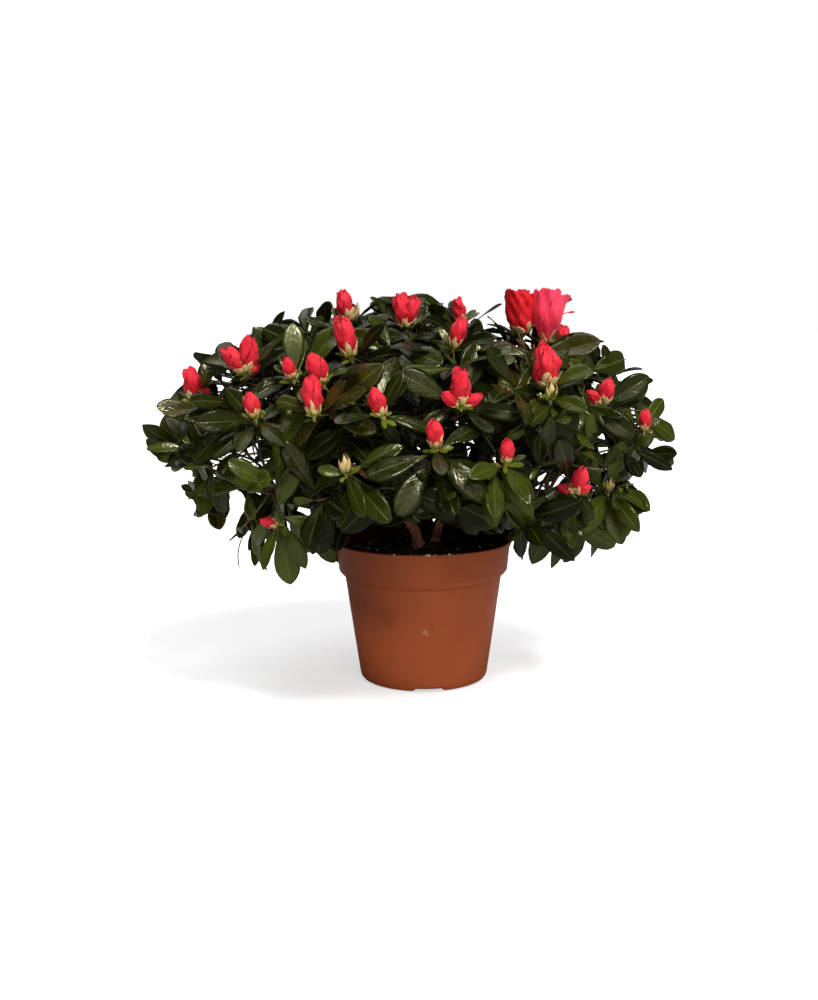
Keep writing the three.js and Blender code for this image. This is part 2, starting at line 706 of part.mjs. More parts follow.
// Leaves in a spiral down the last stretch of a shoot: one that would leave its space is turned, then left out.
// Returns the body that they grow from with the leaves joined to it.
function withLeaves(body, shoot, seed, holds, keepOut, taken) {
  let grown = body;
  const random = seeded(seed);
  const reach = shoot.curve.getLength();
  for (let i = 0; i < LEAVES_PER_SHOOT; i += 1) {
    const length = between(LEAF_LENGTH, random());
    const width = length * between(LEAF_WIDTH_SHARE, random());
    const back = Math.min((FIRST_LEAF_BACK + i * LEAF_STEP) / reach, LEAF_FURTHEST_BACK);
    const spot = alongTwig(shoot.curve, 1 - back);
    const axis = shoot.curve.getTangentAt(1 - back).lerp(UP, 0.3).normalize();
    const lift = between(LEAF_LIFT, random()) - LEAF_LIFT_LOSS * i;
    const spin = i * GOLDEN_ANGLE + LEAF_SPIN_WANDER * (random() - 0.5);
    const hang = between(LEAF_HANG, random());
    for (const { turn, size: shrink } of LEAF_TRIES) {
      const frame = leafFrame(spot, axis, spin + turn, lift, hang);
      const root = spot.clone().addScaledVector(frame.along, -LEAF_SINK);
      const leaf = { root, ...frame, length: length * shrink, width: width * shrink };
      const geometry = leafGeometry(leaf, 0);
      const corners = cornersOf(geometry);
      if (!insideCrown(corners)) continue;
      if (!corners.every((corner) => holds(corner, CELL_MARGIN))) continue;
      const probe = solidOf(leafGeometry(leaf, PROBE_START));
      const box = new THREE.Box3().setFromPoints(corners);
      if (touches(probe, box, taken)) continue;
      const solid = solidOf(geometry);
      if (!solid.intersect(keepOut).isEmpty()) continue;
      const next = grafted(grown, [() => solid]);
      if (!next) continue;
      taken.push({ solid: probe, box });
      grown = next;
      break;
    }
  }
  return grown;
}

function makeFoliage(mass, index, masses, bough, keepOut) {
  const holds = cellOf(mass, masses);
  const start = bough.end.clone().addScaledVector(bough.heading, GAP);
  const wood = makeWood(start, bough.heading, mass.shoots, holds);
  const span = wood.boundingBox();
  const box = new THREE.Box3(new THREE.Vector3(...span.min), new THREE.Vector3(...span.max));
  const taken = [{ solid: wood, box }];
  let body = wood;
  for (const shoot of mass.shoots) body = withBuds(body, shoot, holds, taken);
  mass.shoots.forEach((shoot, i) => {
    body = withLeaves(body, shoot, SEED + 1000 * (index + 1) + i, holds, keepOut, taken);
  });
  return largestBody(body);
}

// The whole plant

const azalea = new THREE.Group();
azalea.name = "azalea";

const potGroup = new THREE.Group();
potGroup.add(meshOf(makePot(), "pot", potPlastic));
potGroup.add(meshOf(makeSoil(), "soil", peat));

const trunk = makeStem(TRUNK_FOOT, TRUNK_FORK, TRUNK_RADIUS, TRUNK_FLARE, TRUNK_KNUCKLE);
const secondStem = makeStem(SECOND_FOOT, SECOND_FORK, SECOND_RADIUS, SECOND_FLARE, SECOND_KNUCKLE);
const woodGroup = new THREE.Group();
woodGroup.add(meshOf(trunk, "trunk", bark));
woodGroup.add(meshOf(secondStem, "second_stem", bark));

const masses = makeMasses();
shareOut(makeShoots(), masses);
const boughs = masses.map((mass) => {
  const onTrunk = mass.centre.x < middle.x + 20;
  return onTrunk ? boughTo(mass, TRUNK_FORK, TRUNK_KNUCKLE) : boughTo(mass, SECOND_FORK, SECOND_KNUCKLE);
});
masses.forEach((mass, i) => woodGroup.add(meshOf(boughs[i].solid, `bough_${mass.name}`, bark)));

const potSpace = new THREE.CylinderGeometry(RIM_RADIUS + 1, RIM_RADIUS + 1, POT_HEIGHT + 1, 24);
potSpace.rotateX(Math.PI / 2);
potSpace.translate(0, 0, (POT_HEIGHT + 1) / 2);
const keepOut = joined([solidOf(potSpace), trunk, secondStem, ...boughs.map((bough) => bough.solid)]);

const crownGroup = new THREE.Group();
masses.forEach((mass, i) => {
  crownGroup.add(meshOf(makeFoliage(mass, i, masses, boughs[i], keepOut), `foliage_${mass.name}`, foliage));
});

azalea.add(potGroup, woodGroup, crownGroup);

export default azalea;
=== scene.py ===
# Looks of the potted azalea shrub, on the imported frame. Blender works in metres, and the sizes below are in
# millimetres. The plant grows by the same rule and seeds as its solids, carried on to more shoots, finer
# twigs and smaller leaves.
import itertools
import json
import math

import bpy
import numpy as np
from mathutils import Matrix, Vector, noise

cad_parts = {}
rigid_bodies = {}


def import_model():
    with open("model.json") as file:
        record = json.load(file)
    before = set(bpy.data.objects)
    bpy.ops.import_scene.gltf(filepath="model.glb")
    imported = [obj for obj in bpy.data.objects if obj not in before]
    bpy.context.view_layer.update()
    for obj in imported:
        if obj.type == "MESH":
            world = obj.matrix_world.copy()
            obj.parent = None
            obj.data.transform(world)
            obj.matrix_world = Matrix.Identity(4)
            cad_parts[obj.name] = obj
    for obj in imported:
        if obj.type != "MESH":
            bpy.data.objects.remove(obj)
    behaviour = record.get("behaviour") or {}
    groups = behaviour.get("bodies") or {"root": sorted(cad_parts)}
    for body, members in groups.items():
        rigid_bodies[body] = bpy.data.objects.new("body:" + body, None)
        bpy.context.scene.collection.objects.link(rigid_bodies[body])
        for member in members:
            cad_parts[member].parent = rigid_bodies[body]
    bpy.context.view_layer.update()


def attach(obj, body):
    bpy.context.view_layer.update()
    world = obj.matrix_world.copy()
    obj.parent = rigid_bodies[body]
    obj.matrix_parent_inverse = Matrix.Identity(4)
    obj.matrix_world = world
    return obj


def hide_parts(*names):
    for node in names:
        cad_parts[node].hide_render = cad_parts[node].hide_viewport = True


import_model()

MM = 0.001
UP = Vector((0, 0, 1))
FULL_TURN = 2 * math.pi
GOLDEN_ANGLE = math.pi * (3 - math.sqrt(5))

# Camera: its place, its turns downwards and about its view, and its lens from the focal length and the height
# of the picture, both in pixels
EYE = Vector((-11, -1000, 283.3))
LOOK_DOWN = 0.1380
ROLL = -0.0074
SENSOR = 36
FOCAL_LENGTH = 1260.5
PICTURE_HEIGHT = 1000

# Pot, as in the solids
POT_HEIGHT = 112
RIM_RADIUS = 70
RIM_EDGE = 1.1
BAND_FOOT_RADIUS = 67.6
BAND_FOOT_HEIGHT = 89
SHOULDER_RADIUS = 62.8
SHOULDER_HEIGHT = 84
SIDE_FOOT_RADIUS = 51
FOOT_RADIUS = 44
FOOT_RING_WIDTH = 5
POT_WALL = 1.8
FLOOR_HEIGHT = 3
CENTRE_PAD_RADIUS = 9
NOTCH_COUNT = 4
NOTCH_FRONT_TURN = 274
NOTCH_WIDTH = 26
NOTCH_TOP_WIDTH = 20
NOTCH_HEIGHT = 2.8
DRAIN_COUNT = 6
DRAIN_RADIUS = 4
DRAIN_RING_RADIUS = 27
SOIL_TOP = 106
SOIL_EDGE_DROP = 2.5
SOIL_FLAT_RADIUS = 38

# Stems, as in the solids
GAP = 0.3
TRUNK = {"foot": (-4, 4), "fork": (-15, 2, 133), "radius": 4.6, "flare": 6.2, "knuckle": 7.4}
SECOND = {"foot": (10, 15), "fork": (20, 14, 134), "radius": 3.6, "flare": 4.8, "knuckle": 7}
FLARE_REACH = 7
STEM_TAPER = 0.12
STEM_UPRIGHT_SHARE = 0.4
KNUCKLE_START = 0.72
KNUCKLE_SPAN = 0.28
KNUCKLE_SWELL = 0.8
# how a stem closes past its fork: how far on, in radii of its knuckle, and how thick it still is
STEM_END = [(0.35, 0.93), (0.65, 0.72), (0.85, 0.45), (0.93, 0.2)]
TRUNK_REACH = 20
BOUGH_RADIUS = 2.3
BOUGH_TIP_RADIUS = 1.7
BOUGH_ARCH = 0.1
BOUGH_SHARE = 0.5

# Crown, as in the solids
CROWN_MIDDLE = Vector((-11, 0, 190))
CROWN_HALF = Vector((218, 208, 119))
FRONT_TURN = -90
SKIRT_HEIGHT = 77
SKIRT_FRONT_LIFT = 58
SKIRT_FRONT_SPREAD = 32
# how far the finer leaves keep up over the pot's front, to the left and to the right of it
LEAF_SKIRT_SPREADS = (29, 42)
LEAF_SKIRT_SLOPE = 0.13
SHOOT_ABOVE_SKIRT = 16
MASS_RINGS = [
    {"name": "low", "count": 6, "first_turn": 30, "reach": 146, "height": 154},
    {"name": "high", "count": 4, "first_turn": 0, "reach": 104, "height": 226},
    {"name": "top", "count": 1, "first_turn": 0, "reach": 0, "height": 242},
]
MASS_WANDER = 9
SEED = 1407
SHOOT_SHARE = 0.82
INNER_SHARE = 0.54
OUTER_SPACING = 58
INNER_SPACING = 100
OUTER_LOWEST_RISE = -38
INNER_LOWEST_RISE = -22
OUTER_FIRST_TURN = 330
INNER_FIRST_TURN = 75
SHOWN_CLEARANCE = 28
BACK_BUD_CHANCE = 0.3
BACK_BUD_LEANS = 40
BACK_BUDS = ["tight", "round", "opening", "opening"]
BRANCH_PULL = 0.5
BRANCH_TURN_OFF = 0.7
TWIG_REACH_ON = 0.4
TWIG_CELL_INSET = 4
BEND_TRIES = 4
BEND_STRAIGHTENING = 0.4
BRANCH_SHARES = [0.2, 0.3, 0.4, 0.5, 0.6]

# Finer growth: more shoots between those of the solids, in an outer and an inner shell
FINE_SHELLS = [
    {"spacing": 36, "share": SHOOT_SHARE, "clearance": 25},
    {"spacing": 48, "share": INNER_SHARE, "clearance": 27},
]
FINE_LOWEST_RISE = -60
FINE_WANDER = 9
FINE_BUD_DEPTH = 10
FINE_BUD_CHANCE = 0.2
FINE_TIGHT_CHANCE = 0.12
# shoots in front of this depth keep above this height and, below the next one, further apart
FRONT_DEPTH = 40
FRONT_LOWEST = 126
LOW_CLEARANCE = 12
LOW_HEIGHT = 165
LOW_SPAN = 50

# Thinner twigs, and more and smaller leaves
TWIG_START_BACK = 1.5
TWIG_RADIUS = 0.85
TWIG_END_RADIUS = 0.75
PIPE_POWER = 3.4
TWIG_STEPS = 9
TWIG_SIDES = 7
YOUNG_REACH = 26
LEAVES_PER_SHOOT = 9
LEAF_LENGTH = (34, 54)
LOW_LEAF_LENGTH = (39, 56)
LEAF_WIDTH_SHARE = (0.3, 0.45)
LOW_WIDTH_SHARE = (0.27, 0.37)
LEAF_ROLL = 1.1
FIRST_LEAF_BACK = 1.5
LEAF_STEP = 1.6
LEAF_FURTHEST_BACK = 0.85
LEAF_AXIS_UP = 0.3
LEAF_LIFT = (0.5, 0.75)
LEAF_LIFT_LOSS = 0.09
LEAF_SPIN_WANDER = 0.5
LEAF_HANG = (0.05, 0.25)
LEAF_DROOP = 0.1
LOW_HANG = 0.7
HANG_START = 95
HANG_SPAN = 65
LEAF_OVERSTEP = 10
# each try's turn round the shoot, and the size that the leaf is then given
LEAF_TRIES = [(0, 1), (0.4, 1), (-0.4, 1), (0, 0.84), (0.8, 0.9), (-0.8, 0.9), (1.3, 0.8), (-1.3, 0.8)]
YOUNG_LEAVES = 1
YOUNG_LEAVES_BY_BUDS = 2
YOUNG_LEAF_LENGTH = (13, 24)
YOUNG_LIFT = 1.05
YOUNG_LIFT_WANDER = 0.2
BRACTS = 5
BRACT_LENGTH = (7, 13)
BRACT_WIDTH_SHARE = 0.34
BRACT_LIFT = (0.35, 1.1)
BRACT_FIRST_BACK = 0.5
BRACT_STEP = 0.6
BRACT_AXIS_UP = 0.5
LEAF_FORMS = 24
LEAVES_PER_PIECE = 560

# Room that a leaf keeps from boughs, from other leaves and buds, and from the sight of the front's buds
SPACE_CELL = 8
BOUGH_CLEARANCE = 4.5
LEAF_CLEARANCE = 5
YOUNG_CLEARANCE = 3
SIGHT_CLEARANCE = 7.5
SIGHT_STEPS = range(8, 90, 6)

# How much a leaf's upper face turns up, out of the crown and, in the crown's front part, towards the view
LEAF_FACES_UP = 0.7
LEAF_FACES_OUT = 0.8
LEAF_FACES_VIEW = 0.8
SIDE_FACES_VIEW = 1.3
FRONT_PART_DEPTH = 60
FRONT_PART_SPAN = 80
# each tint's colour, gloss and share of the sprays
TINTS = {
    "deep": ((0.0056, 0.0074, 0.0006), 0.18, 27),
    "dark": ((0.0108, 0.0146, 0.0009), 0.32, 35),
    "mid": ((0.0190, 0.0262, 0.0016), 0.41, 23),
    "fresh": ((0.0310, 0.0415, 0.0030), 0.36, 7),
    "olive": ((0.0280, 0.0255, 0.0028), 0.4, 8),
    # bright is a lighter green given only by place, as painted light
    "bright": ((0.0370, 0.0535, 0.0030), 0.5, 0),
    "young": ((0.0900, 0.1080, 0.0070), 0.3, 0),
}
# Gaps that show the sky from the front: place across and up on the plane through the pot's axis, and radius
SKY = [
    (-128, 177, 4), (-143, 182, 3), (-96, 137, 3), (-74, 135, 1), (144, 186, 3), (95, 157, 4),
    (51, 286, 3), (76, 171, 1), (-166, 178, 2), (-148, 143, 4), (-154, 125, 4), (-158, 108, 4),
    (-101, 122, 2), (128, 146, 2), (186, 163, 4), (172, 155, 3), (-30, 146, 1), (-118, 158, 2),
]
SKY_MARGIN = 1
# The part of the pot's band that no leaf hangs before: from and to, across, and height
BAND_VIEW = (-60, 72, 107)
# The crown's outline from the front, as heights and places across on the same plane
LEFT_OUTLINE = [
    (74, -108), (86, -138), (111, -162), (128, -188), (156, -196),
    (166, -184), (174, -214), (197, -229), (230, -204), (256, -196),
]
RIGHT_OUTLINE = [(80, 104), (84, 122), (100, 160), (122, 186), (146, 198), (185, 208), (230, 196)]
# How far the hanging leaves reach out of the crown's rounded form
LOW_REACH = 0.14
LOW_REACH_HEIGHT = 135
LOW_REACH_SPAN = 35
# More shoots, as turn, rise and share of the crown: behind the stems, where they close the view under the
# crown, then at its two sides, where leaves reach out
MORE_SHOOTS = [
    (80, -28, 0.5), (100, -36, 0.62), (62, -32, 0.6), (125, -30, 0.6), (92, -22, 0.35), (40, -34, 0.62),
    (186, 7, 0.84), (191, -4, 0.83), (200, 3, 0.84), (353, -3, 0.86), (348, -17, 0.85), (357, 14, 0.86),
]
# tints of the low sprays on the crown's right, then on its left: lighter greens, in part painted light, the
# left's bright one wholly
LOW_TINTS = [("mid", "fresh"), ("fresh", "bright")]
LOW_TINT_HEIGHT = 150
LOW_TINT_CHANCE = 0.7
# the sprays over the pot's front get the deepest tint, painted shade under the crown: their limits to either
# side, back and up
SHADED_FRONT_PLACE = (75, 20, 182)
# sprays on the crown's low left that catch more light: their limits across, back and up, and their tints
LIT_PLACE = (-80, 45, 180)
LIT_TINTS = {"deep": "fresh", "dark": "bright", "mid": "bright"}

# Shoots that show from the front: turn, rise and share of the crown, then the kind of each bud, its lean to
# the right and its size
SHOWN_SHOOTS = [
    (187, 21, 0.82, ("opening", -6, 1.12), ("tight", 48, 0.95)),
    (209, 38, 0.8, ("opening", -38, 1), ("opening", 10, 1.15), ("tight", 62, 0.8)),
    (235, 36, 0.8, ("tight", -18, 1.05)),
    (246, 34, 0.8, ("round", -19, 1.1)),
    (247, 20, 0.8, ("opening", -4, 1.1)),
    (183, 75, 0.83, ("opening", -12, 1.05), ("green", 24, 1.3)),
    (250, 48, 0.8, ("opening", -14, 1.2)),
    (264, 20, 0.8, ("tight", -20, 1.3)),
    (269, 72, 0.8, ("opening", -12, 1.05), ("opening", 16, 1)),
    (358, 76, 0.81, ("opening", -13, 0.85)),
    (288, 53, 0.8, ("opening", 16, 0.95)),
    (283, 24, 0.8, ("opening", 0, 1.05), ("tight", -56, 1), ("tight", 60, 1)),
    (276, 7, 0.8, ("tight", -3, 1.25)),
    (356, 53, 0.82, ("bloom", 4, 1.06)),
    (357, 60, 0.82, ("half_open", -4, 1.14)),
    (311, 31, 0.8, ("crumpled", -2, 1.42)),
    (309, 25, 0.8, ("green", 6, 1)),
    (331, 21, 0.8, ("tight", 16, 1.3), ("tight", -47, 1)),
    (351, 6, 0.85, ("tight", 4, 1.1)),
    (292, 0, 0.8, ("tight", 6, 1.1)),
    (314, -15, 0.8, ("round", 21, 0.9), ("tight", -68, 0.8), ("tight", 74, 0.8)),
    (335, -19, 0.8, ("green", 10, 0.8)),
    (264, -9, 0.79),
    (278, -12, 0.78),
    (271, 4, 0.66),
    (292, -15, 0.8),
    (248, -15, 0.8),
    (303, -4, 0.76),
    (230, 18, 0.8, ("tight", -14, 1.2), ("green", 50, 0.6)),
    (233, -29, 0.8, ("tight", -78, 0.9)),
    (256, -3, 0.8, ("green", -7, 1)),
]


# Seeded numbers

def seeded(seed):
    """A seeded run of numbers between 0 and 1, the same as in the solids."""
    mask = 0xFFFFFFFF
    state = seed & mask

    def draw():
        nonlocal state
        state = (state + 0x6D2B79F5) & mask
        t = state
        t = ((t ^ (t >> 15)) * (t | 1)) & mask
        t ^= (t + (t ^ (t >> 7)) * (t | 61)) & mask
        return ((t ^ (t >> 14)) & mask) / 4294967296

    return draw


def between(span, share):
    return span[0] + (span[1] - span[0]) * share


def part_of(reach, span):
    """A reach as a share of a span, kept between 0 and 1."""
    return min(max(reach / span, 0), 1)


def half_turned(degrees):
    """The same turn, from -180 to 180 degrees."""
    return (degrees + 180) % 360 - 180


def turned(radius, turn, height=0.0):
    """A place by its radius from the upright axis, its turn round it and its height."""
    return radius * math.cos(turn), radius * math.sin(turn), height


# Curves

CURVE_STEPS = 40


class Bend:
    """A curve through a start and an end, pulled towards a bend, measured by the share of its length."""

    def __init__(self, start, bend, end):
        self.ends = (start, bend, end)
        steps = [self.place(i / CURVE_STEPS) for i in range(CURVE_STEPS + 1)]
        self.runs = [0.0]
        for a, b in zip(steps, steps[1:]):
            self.runs.append(self.runs[-1] + (b - a).length)
        self.length = self.runs[-1]

    def place(self, t):
        a, b, c = self.ends
        return a * (1 - t) ** 2 + b * 2 * t * (1 - t) + c * t * t

    def step_at(self, share):
        return float(np.interp(share * self.length, self.runs, np.linspace(0, 1, CURVE_STEPS + 1)))

    def at(self, share):
        return self.place(self.step_at(share))

    def heading(self, share):
        a, b, c = self.ends
        t = self.step_at(share)
        return ((b - a) * (1 - t) + (c - b) * t).normalized()


# Growth: masses, shoots and twigs

def make_masses():
    masses = []
    draw = seeded(SEED)
    for ring in MASS_RINGS:
        for i in range(ring["count"]):
            turn = math.radians(ring["first_turn"] + i * 360 / ring["count"])
            centre = Vector((math.cos(turn), math.sin(turn), 0)) * ring["reach"]
            centre += Vector((CROWN_MIDDLE.x, CROWN_MIDDLE.y, ring["height"]))
            centre += Vector([(draw() - 0.5) * MASS_WANDER for _ in range(3)])
            name = f"{ring['name']}_{i + 1}" if ring["count"] > 1 else ring["name"]
            masses.append({"name": name, "centre": centre, "shoots": []})
    return masses


def cell_of(mass, masses):
    """A test for one mass: whether a place lies in its own cell, a margin clear of the walls."""
    walls = [(m["centre"], (m["centre"] - mass["centre"]).length) for m in masses if m is not mass]
    own = mass["centre"]

    def holds(place, margin):
        mine = (place - own).length_squared
        return all(((place - c).length_squared - mine) / (2 * apart) > margin for c, apart in walls)

    return holds


def bough_to(mass, stem):
    hub = Vector(stem["fork"])
    end = hub.lerp(mass["centre"], BOUGH_SHARE)
    bend = hub.lerp(end, 0.5)
    bend.z += BOUGH_ARCH * (end - hub).length
    return Bend(hub + (bend - hub).normalized() * stem["knuckle"] * 0.5, bend, end)


def crown_point(turn, rise, share):
    turn, rise = math.radians(turn), math.radians(rise)
    off = Vector(turned(math.cos(rise) * share, turn, math.sin(rise) * share))
    return CROWN_MIDDLE + off * CROWN_HALF


def off_front(place):
    """How many degrees round the crown a place is from its front. They are positive to the right."""
    turn = math.degrees(math.atan2(place.y - CROWN_MIDDLE.y, place.x - CROWN_MIDDLE.x))
    return half_turned(turn - FRONT_TURN)


def skirt_at(place):
    """The lowest height that leaves hang to, higher over the pot's front."""
    off = off_front(place) / SKIRT_FRONT_SPREAD
    return SKIRT_HEIGHT + SKIRT_FRONT_LIFT * math.exp(-off * off)


def leaf_skirt_at(place):
    """The lowest height for the finer leaves, so that the peat and the stems' feet stay in sight."""
    off = off_front(place)
    off /= LEAF_SKIRT_SPREADS[off > 0]
    lift = SKIRT_FRONT_LIFT + LEAF_SKIRT_SLOPE * max(-RIM_RADIUS - place.y, 0)
    return SKIRT_HEIGHT + lift * math.exp(-off ** 4)


def shell_feet(spacing, lowest_rise, share, first_turn):
    """Feet of shoots in a spiral from the crown's top down, each with as much of the shell's surface."""
    feet = []
    wide, tall = CROWN_HALF.x * share, CROWN_HALF.z * share

    def step_at(level):
        slope = math.sqrt(tall ** 2 + (wide ** 2 - tall ** 2) * level ** 2)
        return spacing ** 2 / (2 * math.pi * wide * slope)

    level = 1 - step_at(1) / 2
    while level > math.sin(math.radians(lowest_rise)):
        turn = first_turn + math.degrees(len(feet) * GOLDEN_ANGLE)
        feet.append(crown_point(turn, math.degrees(math.asin(level)), share))
        level -= step_at(level)
    return feet


def shoot_at(foot, buds=(), shown=False):
    return {"foot": foot, "buds": list(buds), "shown": shown}


def crowded(foot, shoots, room):
    return any((other["foot"] - foot).length < room for other in shoots)


def solid_shoots(draw):
    """The shoots that the solids have too: those that show from the front, then two spirals."""
    shown = [shoot_at(crown_point(*row[:3]), row[3:], True) for row in SHOWN_SHOOTS]
    shoots = list(shown)
    for foot in shell_feet(OUTER_SPACING, OUTER_LOWEST_RISE, SHOOT_SHARE, OUTER_FIRST_TURN):
        chance = draw()
        kind = BACK_BUDS[int(draw() * len(BACK_BUDS))]
        lean = (draw() - 0.5) * BACK_BUD_LEANS
        if crowded(foot, shown, SHOWN_CLEARANCE) or foot.z < skirt_at(foot) + SHOOT_ABOVE_SKIRT:
            continue
        buds = [(kind, lean, 1)] if foot.y > 0 and chance < BACK_BUD_CHANCE else []
        shoots.append(shoot_at(foot, buds))
    for foot in shell_feet(INNER_SPACING, INNER_LOWEST_RISE, INNER_SHARE, INNER_FIRST_TURN):
        shoots.append(shoot_at(foot))
    return shoots


def add_finer_shoots(shoots, shell, draw):
    """Shoots of one shell, where the others leave room."""
    for foot in shell_feet(shell["spacing"], FINE_LOWEST_RISE, shell["share"], OUTER_FIRST_TURN):
        foot += Vector([(draw() - 0.5) * FINE_WANDER for _ in range(3)])
        chance = draw()
        front = foot.y < FRONT_DEPTH
        if front and foot.z < FRONT_LOWEST:
            continue
        room = shell["clearance"] + front * LOW_CLEARANCE * part_of(LOW_HEIGHT - foot.z, LOW_SPAN)
        if crowded(foot, shoots, room) or foot.z < leaf_skirt_at(foot) + SHOOT_ABOVE_SKIRT:
            continue
        buds = []
        if shell["share"] == SHOOT_SHARE and foot.y > FINE_BUD_DEPTH and chance < FINE_BUD_CHANCE:
            kind = "tight" if chance < FINE_TIGHT_CHANCE else "opening"
            buds = [(kind, (draw() - 0.5) * BACK_BUD_LEANS, 1)]
        shoots.append(shoot_at(foot, buds))


def make_shoots():
    draw = seeded(SEED + 1)
    shoots = solid_shoots(draw)
    shoots += [shoot_at(crown_point(*row)) for row in MORE_SHOOTS]
    for shell in FINE_SHELLS:
        add_finer_shoots(shoots, shell, draw)
    return shoots


def share_out(shoots, masses):
    for shoot in shoots:
        nearest = min(masses, key=lambda mass: (shoot["foot"] - mass["centre"]).length)
        nearest["shoots"].append(shoot)


def split_shoots(shoots):
    """Two groups of shoots: each is with the nearer one of the two that are furthest apart."""
    if len(shoots) < 2:
        return [shoots] if shoots else []
    numbered = list(enumerate(shoots))
    pairs = [((a["foot"] - b["foot"]).length, i, j) for i, a in numbered for j, b in numbered]
    _, i, j = max(pairs)
    one, two = shoots[i]["foot"], shoots[j]["foot"]
    near = [s for s in shoots if (s["foot"] - one).length <= (s["foot"] - two).length]
    return [near, [s for s in shoots if s not in near]]


def grow_twigs(start, heading, shoots, turn_off, holds):
    """A leader runs to the furthest shoot. The rest branch from it in two groups, each with a leader."""
    leader = max(shoots, key=lambda shoot: (shoot["foot"] - start).length)
    end = leader["foot"].copy()
    straight = start.lerp(end, 0.5)
    bend = (start + heading * TWIG_REACH_ON * (end - start).length).lerp(straight, turn_off)
    for _ in range(BEND_TRIES):
        if holds(bend, TWIG_CELL_INSET):
            break
        bend = bend.lerp(straight, BEND_STRAIGHTENING)
    curve = Bend(start, bend, end)
    leader["curve"] = curve
    twigs = [(curve, TWIG_RADIUS * len(shoots) ** (1 / PIPE_POWER))]
    for group in split_shoots([shoot for shoot in shoots if shoot is not leader]):
        goal = sum((shoot["foot"] for shoot in group), Vector()) / len(group)
        goal = goal.lerp(start, BRANCH_PULL)
        share = min(BRANCH_SHARES, key=lambda s: (curve.at(s) - goal).length)
        twigs += grow_twigs(curve.at(share), curve.heading(share), group, BRANCH_TURN_OFF, holds)
    return twigs


# Leaves: where each one goes

class Space:
    """Places that are taken, in a grid of cells, to keep leaves and buds clear of each other."""

    def __init__(self, size):
        self.size = size
        self.cells = {}

    def key(self, place):
        return tuple(int(math.floor(v / self.size)) for v in place)

    def take(self, places):
        for place in places:
            self.cells.setdefault(self.key(place), []).append(place)

    def near(self, place):
        x, y, z = self.key(place)
        for cell in itertools.product((x - 1, x, x + 1), (y - 1, y, y + 1), (z - 1, z, z + 1)):
            yield from self.cells.get(cell, ())

    def is_free(self, places, reach):
        return not any((other - place).length < reach for place in places for other in self.near(place))


def leaf_frame(spot, axis, spin, lift, hang, roll):
    """The directions of a leaf at a spot of its shoot: along it, and out of its upper face."""
    out = spot - CROWN_MIDDLE
    outward = Vector([o / half ** 2 for o, half in zip(out, CROWN_HALF)]).normalized()
    side = (outward - axis * outward.dot(axis)).normalized()
    side = Matrix.Rotation(spin, 3, axis) @ side
    low = part_of(leaf_skirt_at(spot) + HANG_START - spot.z, HANG_SPAN)
    along = side * math.cos(lift) + axis * math.sin(lift)
    along.z -= hang + LOW_HANG * low
    along.normalize()
    front = part_of(FRONT_PART_DEPTH - spot.y, FRONT_PART_SPAN)
    facing = LEAF_FACES_VIEW + SIDE_FACES_VIEW * outward.x ** 2
    upper = UP * LEAF_FACES_UP + outward * LEAF_FACES_OUT + Vector((0, -facing * front, 0))
    upper = (upper - along * upper.dot(along)).normalized()
    return along, Matrix.Rotation(roll, 3, along) @ upper


def leaf_spots(root, along, upper, length, width):
    """Places on a leaf that stand for all of it: along its drooping midrib, then near its two edges."""
    across = along.cross(upper)
    midrib = [root + along * length * share - UP * LEAF_DROOP * length * share * share
              for share in (0.45, 0.72, 1)]
    return midrib + [root + along * length * 0.6 + across * width * side for side in (-0.42, 0.42)]


def on_plane(place):
    """Where a place shows on the plane through the pot's axis, seen from the camera."""
    return EYE + (place - EYE) * EYE.y / (EYE.y - place.y)


def in_sky(root, along, upper, length, width):
    """Whether a leaf would cover one of the gaps that show the sky."""
    across = along.cross(upper)
    for share in (0.15, 0.3, 0.45, 0.6, 0.75, 0.9, 1):
        for side in (-0.35, 0, 0.35):
            place = on_plane(root + along * length * share + across * width * side)
            if any(math.hypot(place.x - x, place.z - z) < radius + SKY_MARGIN for x, z, radius in SKY):
                return True
    return False


def outline_at(outline, height):
    """How far across an outline is at a height."""
    return float(np.interp(height, *zip(*outline)))


def inside_crown(places):
    """Whether places keep inside the crown's form and its outline, off the pot and from before its band."""
    left, right, top = BAND_VIEW
    for place in places:
        off = place - CROWN_MIDDLE
        reach = math.sqrt(sum((o / half) ** 2 for o, half in zip(off, CROWN_HALF)))
        low = part_of(LOW_REACH_HEIGHT - place.z, LOW_REACH_SPAN)
        if reach > 1 + LOW_REACH * low or place.z < leaf_skirt_at(place):
            return False
        seen = on_plane(place)
        if left < seen.x < right and seen.z < top and place.y < 0:
            return False
        if not outline_at(LEFT_OUTLINE, seen.z) < seen.x < outline_at(RIGHT_OUTLINE, seen.z):
            return False
        if place.z < POT_HEIGHT + 1 and math.hypot(place.x, place.y) < RIM_RADIUS + 1:
            return False
    return True


def has_room(spots, grown, holds, room):
    """Whether a leaf's spots keep to its mass of foliage and clear of boughs, buds and other leaves."""
    if not inside_crown(spots) or not all(holds(place, -LEAF_OVERSTEP) for place in spots):
        return False
    clearances = {"boughs": BOUGH_CLEARANCE, "sight": SIGHT_CLEARANCE,
                  "leaves": LEAF_CLEARANCE if grown else YOUNG_CLEARANCE}
    return all(room[kind].is_free(spots, reach) for kind, reach in clearances.items())


def pick_tint(draw):
    left = draw() * sum(weight for _, _, weight in TINTS.values())
    for name, (_, _, weight) in TINTS.items():
        left -= weight
        if left < 0:
            return name
    return "dark"


